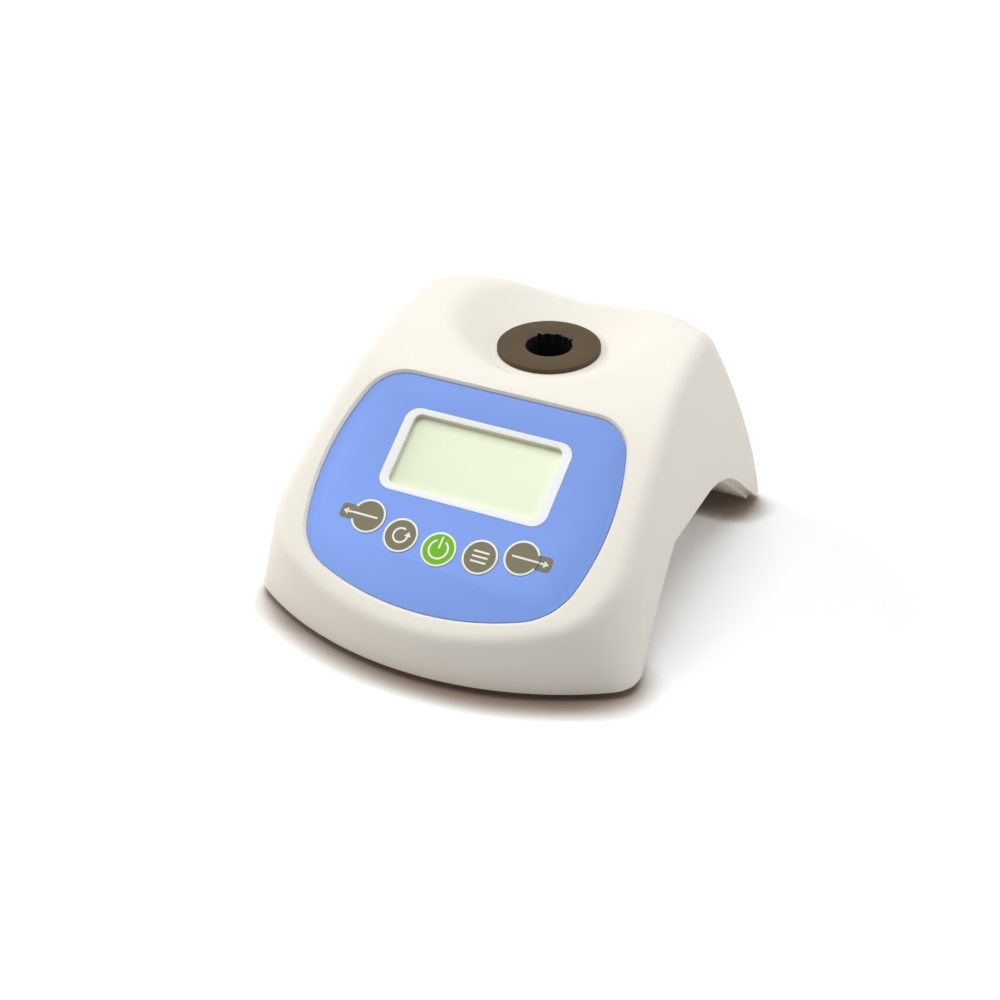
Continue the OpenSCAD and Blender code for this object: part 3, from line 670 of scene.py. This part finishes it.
def finish(name, colour=None):
    """Moulded surface: slow tone changes, fine grain in the gloss and in the relief."""
    if name in bpy.data.materials:
        return bpy.data.materials[name]
    paint, tone, patch, grain, rough_from, rough_to, bump, *rest = COATS[name]
    specular, depth = (*rest, *USUAL[len(rest):])
    if colour is None:
        held = bpy.context.scene.photometer_finish
        colour = getattr(held, paint) if isinstance(paint, str) else srgb(*paint)
    mat = bpy.data.materials.new(name)
    mat.use_nodes = True
    tree = mat.node_tree
    turn = add_node(tree, "ShaderNodeMapping", vector=place_of(tree), scale=STRETCH.get(name, (1, 1, 1)))
    spot = turn.outputs["Vector"]
    slow = add_node(tree, "ShaderNodeTexNoise", vector=spot, scale=1 / patch, detail=3.0).outputs["Fac"]
    fine = add_node(tree, "ShaderNodeTexNoise", vector=spot, scale=1 / grain, detail=2.0).outputs["Fac"]
    relief = add_node(tree, "ShaderNodeBump", strength=bump, distance=depth, height=fine)
    tune(
        tree.nodes["Principled BSDF"],
        base_color=blend(tree, slow, (*colour, 1), (*(c * tone for c in colour), 1)),
        roughness=ramp(tree, fine, 0, 1, rough_from, rough_to),
        normal=relief.outputs["Normal"],
        specular_ior_level=specular,
        **EXTRA.get(name, {}),
    )
    return mat


# Repeated pieces

def place_tree():
    """Node tree that sets one form on every place, with its width, height, turn and finish."""
    if "set_on_places" in bpy.data.node_groups:
        return bpy.data.node_groups["set_on_places"]
    tree = bpy.data.node_groups.new("set_on_places", "GeometryNodeTree")
    face = tree.interface
    face.new_socket("Geometry", in_out="OUTPUT", socket_type="NodeSocketGeometry")
    kinds = {"Places": "Geometry", "Form": "Object", "Width": "Float", "Height": "Float", "Turn": "Vector"}
    for label, kind in {**kinds, "Finish": "Material"}.items():
        face.new_socket(label, in_out="INPUT", socket_type="NodeSocket" + kind)
    given = add_node(tree, "NodeGroupInput").outputs
    form = add_node(tree, "GeometryNodeObjectInfo", object=given["Form"])
    scale = add_node(tree, "ShaderNodeCombineXYZ", x=given["Width"], y=given["Width"], z=given["Height"])
    spread = add_node(
        tree, "GeometryNodeInstanceOnPoints", points=given["Places"], instance=form.outputs["Geometry"],
        rotation=given["Turn"], scale=scale.outputs["Vector"])
    real = add_node(tree, "GeometryNodeRealizeInstances", geometry=spread.outputs["Instances"])
    coat = add_node(tree, "GeometryNodeSetMaterial", geometry=real.outputs["Geometry"], material=given["Finish"])
    add_node(tree, "NodeGroupOutput", geometry=coat.outputs["Geometry"])
    return tree


def set_on_places(name, places, form, span, turn, coat):
    """Plain mesh with the form, of the given width and height, on every place."""
    mesh = bpy.data.meshes.new(name)
    mesh.from_pydata([tuple(q) for q in places], [], [])
    obj = put(name, mesh)
    mod = obj.modifiers.new("places", "NODES")
    mod.node_group = tree = place_tree()
    values = {"Form": form, "Width": span[0], "Height": span[1], "Turn": turn, "Finish": finish(coat)}
    for item in tree.interface.items_tree:
        if item.in_out == "INPUT" and item.name in values:
            mod[item.identifier] = values[item.name]
    settle(obj)
    return obj


def screw_form(shank, length):
    """Screw of unit head width and height under z = 0, with a cross recess and its shank upwards."""
    head = [(0, -1), (0.36, -1), (0.45, -0.93), (0.5, -0.7), (0.5, -0.05), (0.48, 0)]
    tail = [(shank, 0), (shank, length * 0.9), (shank * 0.6, length), (0, length)]
    form = turned("screw_form", head + tail, 32)
    slot = [(0.3, 0.05), (-0.3, 0.05), (-0.3, -0.05), (0.3, -0.05)]
    for turn in (0, QUARTER):
        cut(form, "slot", (slot, -1.2, -0.45, Matrix.Rotation(turn, 4, "Z")))
    shade(form, 30)
    return form


# Stage

FLOOR_HALF = 3
AIM = Vector((0, 0, 0.04))
# Painted contact shadow on the floor: its colour and glow are darkened by ambient occlusion that leans to the back
# left
SHADOW_LEAN, SHADOW_REACH = {"x": -0.5, "y": 0.62, "z": 0.6}, 0.014
SHADOW_LEVELS = 0.58, 0.9, 0.1, 1  # openness from and to, level from and to
LIFT_LEVELS = 0.15, 0.7, 0.1, 1.0  # distance from and to, level from and to
SKY_TINT = 1.0, 0.985, 0.965, 1
WHITE = 1, 1, 1, 1
# Each light: name, place, side and colour
LIGHTS = (
    ("ceiling", (0, 0, 1.2), 1.0, (0.965, 1.0, 1.0)),
    ("left", (-1.1, 0, 0.6), 0.7, (1.0, 0.955, 0.95)),
    ("front", (-0.7, -0.8, 0.8), 0.7, (1.0, 0.91, 0.8)),
    ("right", (0.9, 0.45, 0.6), 0.7, (1.0, 0.96, 0.95)),
)


def seen(tree):
    """One for rays that look at the background: from the camera, a mirror or a glass."""
    rays = add_node(tree, "ShaderNodeLightPath").outputs
    mirror = maths(tree, "MAXIMUM", rays["Is Camera Ray"], rays["Is Glossy Ray"])
    return maths(tree, "MAXIMUM", mirror, rays["Is Transmission Ray"])


def floor_white(st):
    """Pale floor that runs out into white, with a painted brown contact shadow: its colour and glow darken where
    ambient occlusion finds the object close.
    """
    mat = finish("floor_white", st.floor)
    tree = mat.node_tree
    bsdf = tree.nodes["Principled BSDF"]
    pale = bsdf.inputs["Base Color"].links[0].from_socket
    lean = add_node(tree, "ShaderNodeCombineXYZ", **SHADOW_LEAN).outputs["Vector"]
    close = add_node(tree, "ShaderNodeAmbientOcclusion", samples=10, distance=SHADOW_REACH, normal=lean)
    painted_shadow_level = ramp(tree, close.outputs["AO"], *SHADOW_LEVELS)
    away = add_node(tree, "ShaderNodeVectorMath", operation="LENGTH", vector=place_of(tree)).outputs["Value"]
    lift = maths(tree, "MULTIPLY", seen(tree), ramp(tree, away, *LIFT_LEVELS))
    # painted shadow: the floor's colour goes to brown where it is occluded
    brown = blend(tree, painted_shadow_level, (*st.shadow, 1), pale)
    glow = maths(tree, "MULTIPLY", lift, painted_shadow_level)
    tune(bsdf, base_color=brown, emission_color=WHITE, emission_strength=glow)
    return mat


def make_world(scene, st):
    scene.world = world = bpy.data.worlds.new("studio")
    world.use_nodes = True
    tree = world.node_tree
    sky = tune(tree.nodes["Background"], color=SKY_TINT, strength=st.sky)
    white = add_node(tree, "ShaderNodeBackground", color=WHITE, strength=1.0)
    both = add_node(tree, "ShaderNodeMixShader")
    for socket, value in zip(both.inputs, (seen(tree), sky.outputs[0], white.outputs[0])):
        feed(socket, value)
    tune(tree.nodes["World Output"], surface=both.outputs[0])


def make_light(name, place, side, power, colour):
    """Square soft light that faces the body."""
    data = bpy.data.lights.new(name, "AREA")
    data.shape, data.size, data.energy, data.color = "SQUARE", side, power, colour
    lamp = put(name, data)
    lamp.location = place
    lamp.rotation_euler = (AIM - Vector(place)).to_track_quat("-Z", "Y").to_euler()


def make_camera(scene, st):
    flat = cos(st.elevation)
    back = Vector((sin(st.azimuth) * flat, -cos(st.azimuth) * flat, sin(st.elevation)))
    right = Vector((cos(st.azimuth), sin(st.azimuth), 0))
    x = cos(st.roll) * right + sin(st.roll) * back.cross(right)
    data = bpy.data.cameras.new("camera")
    data.lens, data.sensor_width, data.clip_start = st.lens, 36, 0.01
    scene.camera = cam = put("camera", data)
    cam.matrix_world = Matrix.Translation(st.eye) @ Matrix((x, back.cross(x), back)).transposed().to_4x4()


class PHOTOMETER_OT_stage(Operator):
    """Floor, light and camera"""
    bl_idname = "photometer.stage"
    bl_label = "Stage"

    def execute(self, context):
        st = context.scene.photometer_stage
        bm = bmesh.new()
        bmesh.ops.create_grid(bm, x_segments=4, y_segments=4, size=FLOOR_HALF)
        ground = piece("floor", bm, recalc=False)
        ground.data.materials.append(floor_white(st))
        make_world(context.scene, st)
        for name, place, side, colour in LIGHTS:
            make_light(name + "_light", place, side, getattr(st, name), colour)
        make_camera(context.scene, st)
        context.scene.view_settings.view_transform = "Standard"
        return {"FINISHED"}


# Casing and cover

SPARE, TRIM = 0.006, 0.0006  # skin under the lower edge, which is cut off, and the cut over it
HOLLOW_CELL = 0.0024
HUMP_Z = 0.06  # the dish lies over this height
STEEPEST = 2  # slope that widens the dish's rim at most
PAST = 0.0004  # tools past the faces that they open
COVER_ROOM = 0.0003  # cover to casing
REACH = 0.2  # past both ends of the body
SEAT_R, POST_R = 0.0029, 0.0036  # screw heads' seats and screw posts
INLET_HOLE_R, INLET_RECESS_R, INLET_BOSS_R = 0.00415, 0.007, 0.0095


def panel_recess(f):
    """Tool for the sunk panel: its bed, the slanted lip and the lip's soft crest."""
    p, foot = f.p, -0.0001
    slant = [(p.gap + p.lip * t, foot + (0.96 * p.sink - foot) * t) for t in (0, 0.07, 0.92, 1)]
    crest = [(p.gap + p.lip * t, p.sink * h) for t, h in ((1.1, 1.0), (1.35, 1.06))]
    rings = [(p.gap, f.bed), *slant, *crest, (crest[-1][0], 0.01)]
    return lofted("recess", [(f.panel_line(g), z) for g, z in rings], f.on_panel)


def press_dish(obj, f, g):
    """Lowers the hump to the dish with a rim that is equally soft all round."""
    tilt = tan(f.s.dish_tilt)
    steps = []
    for v in obj.data.vertices:
        x, y, z = v.co
        if z < HUMP_Z:
            continue
        low = f.dish_z(x, y, g)
        fall = min(hypot(v.normal.x, v.normal.y) / max(v.normal.z, 0.1), STEEPEST)
        k = f.s.rim_soft * (tilt + fall)
        if low - z < k:
            h = max(k - abs(low - z), 0) / k
            steps.append((v, max(min(low, z) - h * h * k / 4, f.floor_z - g)))
    for v, z in steps:
        v.co.z = z
    obj.data.update()


def hollow_tool(f):
    """Hollow of the casing, with the inlet boss and the screw posts left standing."""
    b = f.b
    hollow = hull_piece("hollow", f.body_points(b.wall) + level(f.sole_plan(b.wall), f.sole - 0.004))
    reskin(hollow, HOLLOW_CELL, 0)
    press_dish(hollow, f, b.wall)
    posts = [(circle(0, 0, INLET_BOSS_R, 48), INLET_SEAT - 0.004, INLET_SEAT + 0.03, INLET_AT)]
    posts += [(circle(x, y, POST_R, 24), z + b.cover_t, 0.1) for x, y, z in f.case_screws()]
    cut(hollow, "posts", *posts)
    return hollow


class PHOTOMETER_OT_casing(Operator):
    """Wedge casing with its arch, dish, sunk panel and holes"""
    bl_idname = "photometer.casing"
    bl_label = "Casing"

    def execute(self, context):
        f = Form()
        b, p, s = f.b, f.p, f.s
        obj = hull_piece("casing", f.body_points(0) + level(f.sole_plan(0), f.sole - SPARE))
        reskin(obj, b.voxel, 5)
        press_dish(obj, f, 0)
        soften(obj, 3)
        settle(obj)
        cut(obj, "trim", (round_rect(2 * b.width, 2 * b.depth, MIN_R), f.sole - 2 * SPARE, f.sole + TRIM))
        cut(obj, "arch", (f.arch_line(0, f.sole - SPARE / 2), -b.width, b.width, ALONG_X))
        carve(obj, hollow_tool(f))
        carve(obj, panel_recess(f))
        skirt, key_room, neck_room = 0.0021, 0.0003, 0.00015
        through = f.under - 0.002, f.bed + PAST
        holes = [(round_rect(p.view_w + skirt, p.view_h + skirt, 0.003), *through, f.on_panel)]
        holes += [(circle(0, 0, p.key_d / 2 + key_room, 48), *through, f.on_key(i)) for i in range(-2, 3)]
        holes.append((circle(0, s.axis_y, s.neck_r + neck_room, 64), f.floor_z - 0.01, f.floor_z + 2 * PAST))
        holes.append((circle(0, 0, INLET_HOLE_R, 40), INLET_SEAT - 0.012, INLET_SEAT + PAST, INLET_AT))
        cut(obj, "holes", *holes)
        cut(obj, "jack_recess", (circle(0, 0, INLET_RECESS_R, 56), INLET_SEAT, INLET_SEAT + 0.03, INLET_AT))
        shade(obj)
        mount(obj, "casing", "casing_plastic", "upper_shell")
        return {"FINISHED"}


class PHOTOMETER_OT_cover(Operator):
    """Bottom cover that follows the arch"""
    bl_idname = "photometer.cover"
    bl_label = "Bottom cover"

    def execute(self, context):
        f = Form()
        b = f.b
        plate = hull_piece("bottom_cover", f.body_points(b.wall + COVER_ROOM))
        low, high = f.inner_z, f.inner_z + b.cover_t
        lower = [(-REACH, low), *f.arch_line(-b.band_t / 2, low), (REACH, low)]
        upper = [(-REACH, high), *f.arch_line(b.cover_t, high), (REACH, high)]
        cut(plate, "plate", (lower + upper[::-1], -b.width, b.width, ALONG_X), operation="INTERSECT")
        band = hull_piece("band", f.body_points(b.band_in))
        strip = f.arch_line(0, f.sole) + f.arch_line(-b.band_t, f.sole)[::-1]
        cut(band, "strip", (strip, -b.width, b.width, ALONG_X), operation="INTERSECT")
        carve(plate, band, "UNION")
        seats = [(circle(x, y, SEAT_R, 32), 0, z) for x, y, z in f.case_screws() + f.block_screws()]
        for node in FEET:
            low, high = (Vector(c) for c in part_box(node))
            mid = (low + high) / 2
            seats.append((circle(mid.x, mid.y, (high.x - low.x) / 2 + 0.0001, 40), 0, high.z))
        cut(plate, "seats", *seats)
        shade(plate)
        mount(plate, "cover", "cover_plastic", "base_cover")
        return {"FINISHED"}


# Panel

GLASS_T, HOLDER_T, BOARD_T = 0.0022, 0.0024, 0.0016
FINE = 0.00004  # softened edges and print
# Painted light on the film: its print is brighter at the front edge and a little darker at the back
FILM_PAINTED_LIGHT = 1.19, 0.93  # share of the print's colour at the front and at the back


def paint_film_light(mat):
    """Painted light: makes the print paler towards the front edge, where less light falls on it, and a little darker
    at the back.
    """
    tree = mat.node_tree
    bsdf = tree.nodes["Principled BSDF"]
    printed = bsdf.inputs["Base Color"].links[0].from_socket
    low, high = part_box("panel_overlay")
    split = add_node(tree, "ShaderNodeSeparateXYZ", vector=place_of(tree))
    tone = ramp(tree, split.outputs["Y"], low[1], high[1], *FILM_PAINTED_LIGHT)
    grown = add_node(tree, "ShaderNodeVectorMath", operation="SCALE", vector=printed, scale=tone)
    tune(bsdf, base_color=grown.outputs[0])


def add_tag(bm, p, sx, at):
    """Grey tag beside an outer key, with the head of the key's arrow."""
    r, h, corner = p.key_d / 2 + 0.0001, p.tag_h / 2, 0.0016
    a, end = asin(h / r), p.tag_reach - corner
    line = arc(0, 0, r, -a, a, 12) + arc(end, h - corner, corner, QUARTER, 0, 6)
    line += arc(end, corner - h, corner, 0, -QUARTER, 6)
    if sx < 0:
        line = mirrored(line)
    prism(bm, line[::-1], -0.0001, FINE, at, 1)
    head = p.tag_reach - 0.0011
    shaft = line_outline([(sx * (r + 0.0003), 0), (sx * (head - 0.0014), 0)], p.stroke)
    tip = [(sx * head, 0), (sx * (head - 0.0019), 0.0013), (sx * (head - 0.0019), -0.0013)]
    for shape in (shaft, tip):
        prism(bm, shape if sx < 0 else shape[::-1], 0, 2 * FINE, at, 2)


class PHOTOMETER_OT_overlay(Operator):
    """Blue overlay film with its printed tags"""
    bl_idname = "photometer.overlay"
    bl_label = "Overlay"

    def execute(self, context):
        f = Form()
        p = f.p
        rings = [(0, f.bed), (0, -0.00015), (-FINE, -0.00005), (-3 * FINE, 0)]
        obj = lofted("overlay_film", [(f.panel_line(g), z) for g, z in rings], f.on_panel)
        room, key_room, through = 0.0002, 0.00006, (-0.005, 0.005)
        windows = [(round_rect(p.border_w + room, p.border_h + room, 0.0055), *through, f.on_panel)]
        windows += [(circle(0, 0, p.key_d / 2 + key_room, 72), *through, f.on_key(i)) for i in range(-2, 3)]
        cut(obj, "windows", *windows)
        bm = bmesh.new()
        bm.from_mesh(obj.data)
        for sx in (-1, 1):
            add_tag(bm, p, sx, f.on_key(2 * sx))
        bm.to_mesh(obj.data)
        bm.free()
        shade(obj)
        # painted light on the film: brighter towards the front edge
        paint_film_light(finish("blue_film"))
        mount(obj, "overlay", "blue_film grey_key_top white_print", "panel_overlay")
        return {"FINISHED"}


class PHOTOMETER_OT_display(Operator):
    """White border and pale green display"""
    bl_idname = "photometer.display"
    bl_label = "Display"

    def execute(self, context):
        f = Form()
        p = f.p
        w, h, vw, vh = p.border_w, p.border_h, p.view_w, p.view_h
        skirt, r, rv = 0.0018, 0.0054, 0.0028
        rows = [(w, h, r, f.bed), (w, h, r, -FINE), (w - 2 * FINE, h - 2 * FINE, r, FINE)]
        rows += [(vw + 0.0002, vh + 0.0002, rv, FINE), (vw + 0.00006, vh + 0.00006, rv, 0)]
        rows += [(vw, vh, rv, -0.0001), (vw, vh, rv, f.under)]
        rows += [(vw + skirt, vh + skirt, rv, f.under), (vw + skirt, vh + skirt, rv, f.bed)]
        rings = [(round_rect(a, c, k), z) for a, c, k, z in rows]
        # The wall of the opening and the frame's underside take the darker painted-shade finish
        obj = lofted("display_frame", rings, f.on_panel, closed=True, mats=[0] * 5 + [1] * 4)
        shade(obj, 30)
        mount(obj, "border", "border_white window_wall", "display_border")
        gw, gh, edge = vw + 0.005, vh + 0.0044, 0.0003
        rows = [(gw, gh, f.under - GLASS_T), (gw, gh, f.under - 0.0002), (gw - edge, gh - edge, f.under)]
        obj = lofted("display_face", [(round_rect(a, c, 0.0006, 4), z) for a, c, z in rows], f.on_panel)
        shade(obj, 30)
        mount(obj, "display", "pale_display", "display_glass")
        return {"FINISHED"}


def key_sign(i, p):
    """Outlines of the sign on a key: arrows outside, a loop, three bars, and the on-off sign."""
    w, r = p.stroke, 0.0027
    if i == 0:
        ring = arc(0, 0, 0.0035, radians(122), radians(418), 40)
        return [line_outline(ring, w), line_outline([(0, 0.0006), (0, 0.0046)], w)]
    if i == -1:
        ring = arc(0, 0, r, radians(70), radians(360), 36)
        return [line_outline(ring, w), [(r - 0.0013, 0.0001), (r + 0.0013, 0.0001), (r, 0.0019)]]
    if i == 1:
        return [line_outline([(-r, y), (r, y)], w) for y in (-0.0019, 0, 0.0019)]
    side = 1 if i > 0 else -1
    return [line_outline([(-side * 0.0034, 0), (side * (p.key_d / 2 - 0.0004), 0)], w)]


def make_key(f, i, node):
    p = f.p
    r, top = p.key_d / 2, p.key_rise
    wide, stem = r + 0.00065, 0.0016
    flange = f.under - 0.0002
    low = flange - 0.0008
    end = low - 0.0014
    profile = [(0, end), (stem, end), (stem, low), (wide, low), (wide, flange), (r, flange), (r, top - 0.00016)]
    profile += [(r - FINE, top - 2 * FINE), (r - 0.00014, top - 0.00003)]
    ring_rows = len(profile) - 2, len(profile) - 1
    profile += [(r - p.ring, top - 0.00002), (r * 0.5, top), (0, top)]
    side = {-2: pi, 2: 0.0}.get(i)
    gap = asin(p.tag_h / 2 / r)

    def mat_of(row, angle):
        tagged = side is not None and abs(remainder(angle - side, FULL_TURN)) < gap
        return int(row in ring_rows and not tagged)

    bm = bmesh.new()
    lathe(bm, profile, 120, f.on_key(i), mat_of)
    for outline in key_sign(i, p):
        prism(bm, outline, top - 0.00005, top + 0.00003, f.on_key(i), 1)
    obj = piece(node + "_cap", bm)
    shade(obj, 40)
    slot, face = ("key_grey", "grey_key_top") if i else ("key_green", "green_key_top")
    mount(obj, slot, face + " white_print", node, body=node)


class PHOTOMETER_OT_keys(Operator):
    """Five keys with white rings and signs"""
    bl_idname = "photometer.keys"
    bl_label = "Keys"

    def execute(self, context):
        f = Form()
        for i, node in enumerate(KEYS):
            make_key(f, i - 2, node)
        return {"FINISHED"}


# Socket, inlet, feet and screws

SOCKET_EDGE, SOCKET_SOFT = 0.0001, 0.00025  # flange's lower and upper edge
# Each notch: bearing in degrees, reach past the bore, width
NOTCHES = (
    (50, 0.001, 0.0015), (139, 0.001, 0.0015), (66, 0.00035, 0.002), (91, 0.0004, 0.0024), (119, 0.0004, 0.0022))
BIG_HEAD = 0.0052, 0.0018  # width and height of a screw's head
KEYPAD_HEAD = 0.0044, 0.0016
BOARD_HEAD = 0.0048, 0.0016


class PHOTOMETER_OT_socket(Operator):
    """Flanged socket with its tube bore and square well"""
    bl_idname = "photometer.socket"
    bl_label = "Socket"

    def execute(self, context):
        f = Form()
        s = f.s
        r, bore, top, floor = s.flange_r, s.bore_r, s.top, s.foot + s.well_floor
        profile = [(0, s.foot), (s.neck_r, s.foot), (s.neck_r, f.floor_z)]
        profile += [(r - SOCKET_EDGE, f.floor_z), (r, f.floor_z + SOCKET_EDGE)]
        for i in range(7):
            a = QUARTER * i / 6
            profile.append((r - SOCKET_SOFT * (1 - cos(a)), top - SOCKET_SOFT * (1 - sin(a))))
        profile += [(bore + 0.0007, top), (bore + 0.0005, top - 0.00005), (bore + 0.00015, top - 0.0003)]
        bore_row = len(profile) - 1
        profile += [(bore, top - 0.0007), (bore, floor), (0, floor)]
        at = Matrix.Translation((0, s.axis_y, 0))
        # The bore, its floor, the well and the notches take the near-black painted shade
        obj = turned("tube_socket", profile, 128, at, lambda row, angle: int(row >= bore_row))
        coats = "socket_brown bore_black"
        for name in coats.split():
            obj.data.materials.append(finish(name))
        cut(obj, "well", (round_rect(s.well, s.well, 0.0002, 3), floor + 0.0001, top - 0.0035, at, 1))
        for degrees, reach, wide in NOTCHES:
            near, far, half = 0.004, reach + bore, wide / 2
            slot = [(near, -half), (far, -half), (far, half), (near, half)]
            turn = Matrix.Rotation(radians(degrees), 4, "Z")
            cut(obj, "notch", (slot, top - 0.003, top + 0.001, at @ turn, 1))
        shade(obj, 30)
        mount(obj, "socket", coats, "socket_insert")
        return {"FINISHED"}


class PHOTOMETER_OT_inlet(Operator):
    """Low-voltage inlet in its recess at the back"""
    bl_idname = "photometer.inlet"
    bl_label = "Inlet"

    def execute(self, context):
        low, high, seat = INLET_LOW.y, INLET_HIGH.y, INLET_SEAT
        r, tube, hole, pin = (INLET_HIGH.x - INLET_LOW.x) / 2, 0.004, 0.0029, 0.001
        floor = seat - 0.009
        profile = [(0, low), (tube, low), (tube, seat), (r, seat)]
        profile += [(r, high - 0.0004), (r - 0.0001, high - 0.00012), (r - 0.0004, high), (hole + 0.0006, high)]
        profile += [(hole + 0.0001, high - 0.0003), (hole, high - 0.0006), (hole, floor), (pin, floor)]
        pin_row = len(profile) - 1
        profile += [(pin, seat - 0.0006), (0.0008, seat - 0.0002), (0.0004, seat), (0, seat)]
        obj = turned("power_inlet", profile, 56, INLET_AT, lambda row, angle: int(row >= pin_row))
        shade(obj, 40)
        mount(obj, "inlet", "inlet_black screw_steel", "dc_inlet")
        return {"FINISHED"}


class PHOTOMETER_OT_feet(Operator):
    """Four rubber feet"""
    bl_idname = "photometer.feet"
    bl_label = "Feet"

    def execute(self, context):
        profile = [(0, 0.06), (0.3, 0.06), (0.34, 0), (0.42, 0), (0.475, 0.05), (0.5, 0.16), (0.5, 0.97), (0.48, 1)]
        form = turned("foot_form", profile + [(0, 1)], 40)
        shade(form, 40)
        for label, pair in (("feet_front", FEET[:2]), ("feet_rear", FEET[2:])):
            boxes = [[Vector(c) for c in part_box(n)] for n in pair]
            places = [((lo.x + hi.x) / 2, (lo.y + hi.y) / 2, lo.z) for lo, hi in boxes]
            lo, hi = boxes[0]
            obj = set_on_places(label, places, form, (hi.x - lo.x, hi.z - lo.z), (0, 0, 0), "foot_rubber")
            mount(obj, "foot", "foot_rubber", *pair)
        bpy.data.meshes.remove(form.data)
        return {"FINISHED"}


def make_screws(name, node, places, head, shank, length, turn=(0, 0, 0)):
    """Like screws; shank and length are shares of the head's width and height."""
    form = screw_form(shank, length)
    obj = set_on_places(name, places, form, head, turn, "screw_steel")
    bpy.data.meshes.remove(form.data)
    mount(obj, "steel", "screw_steel", node)


class PHOTOMETER_OT_screws(Operator):
    """Case, block and board screws"""
    bl_idname = "photometer.screws"
    bl_label = "Screws"

    def execute(self, context):
        f = Form()
        p = f.p
        make_screws("case_screw_set", "case_screws", f.case_screws(), BIG_HEAD, 0.24, 5.0)
        make_screws("block_screw_set", "block_screws", f.block_screws(), BIG_HEAD, 0.24, 6.1)
        back = f.under - GLASS_T - HOLDER_T - BOARD_T
        x, v = p.view_w / 2 + 0.0132, p.view_h / 2 - 0.0006
        panel = [f.on_panel @ Vector((sx * x, sy * v, back)) for sx in (-1, 1) for sy in (-1, 1)]
        make_screws("keypad_screw_set", "keypad_screws", panel, KEYPAD_HEAD, 0.26, 3.1, (f.b.tilt, 0, 0))
        low, high = (Vector(c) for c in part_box("board_screws"))
        r, z = BOARD_HEAD[0] / 2, high.z - BOARD_HEAD[1]
        board = [(x, y, z) for x in (low.x + r, high.x - r) for y in (low.y + r, high.y - r)]
        make_screws("board_screw_set", "board_screws", board, BOARD_HEAD, 0.26, 3.3, (pi, 0, 0))
        return {"FINISHED"}


class PHOTOMETER_OT_inside(Operator):
    """Finishes of the sealed parts"""
    bl_idname = "photometer.inside"
    bl_label = "Sealed parts"
    LOOKS = {
        "holder_grey": "display_holder",
        "glow_plate": "display_glow",
        "board_green": "keypad_board main_board",
        "block_black": "socket_nut optical_block key_switches board_parts",
        "lamp_amber": "lamp",
        "filter_red": "beam_filter",
        "screw_steel": "detector inlet_nut",
        "red_sleeve": "lamp_wires inlet_wires",
        "yellow_sleeve": "detector_wires",
        "ribbon_grey": "ribbon_cable",
    }

    def execute(self, context):
        for name, nodes in self.LOOKS.items():
            for node in nodes.split():
                for held in NODES[node].material_slots:
                    held.material = finish(name)
        return {"FINISHED"}


class PHOTOMETER_PT_parts(Panel):
    """Lists the sizes and the pieces"""
    bl_idname = "PHOTOMETER_PT_parts"
    bl_label = "Photometer"
    bl_space_type = "VIEW_3D"
    bl_region_type = "UI"
    bl_category = "Photometer"

    def draw(self, context):
        for op in PIECES:
            self.layout.operator(op.bl_idname)
        for label in GROUPS:
            box = self.layout.box()
            group = getattr(context.scene, label)
            for key in group.__annotations__:
                box.prop(group, key)


GROUPS = {
    "photometer_body": PHOTOMETER_PG_body,
    "photometer_panel": PHOTOMETER_PG_panel,
    "photometer_socket": PHOTOMETER_PG_socket,
    "photometer_finish": PHOTOMETER_PG_finish,
    "photometer_stage": PHOTOMETER_PG_stage,
}
PIECES = (
    PHOTOMETER_OT_stage, PHOTOMETER_OT_casing, PHOTOMETER_OT_cover, PHOTOMETER_OT_overlay,
    PHOTOMETER_OT_display, PHOTOMETER_OT_keys, PHOTOMETER_OT_socket, PHOTOMETER_OT_inlet,
    PHOTOMETER_OT_feet, PHOTOMETER_OT_screws, PHOTOMETER_OT_inside,
)
CLASSES = (*GROUPS.values(), *PIECES, PHOTOMETER_PT_parts)


def register():
    for cls in CLASSES:
        bpy.utils.register_class(cls)
    for label, cls in GROUPS.items():
        setattr(bpy.types.Scene, label, PointerProperty(type=cls))


def unregister():
    for label in GROUPS:
        delattr(bpy.types.Scene, label)
    for cls in reversed(CLASSES):
        bpy.utils.unregister_class(cls)


def main():
    register()
    for op in PIECES:
        group, name = op.bl_idname.split(".")
        getattr(getattr(bpy.ops, group), name)()


if __name__ == "__main__":
    main()
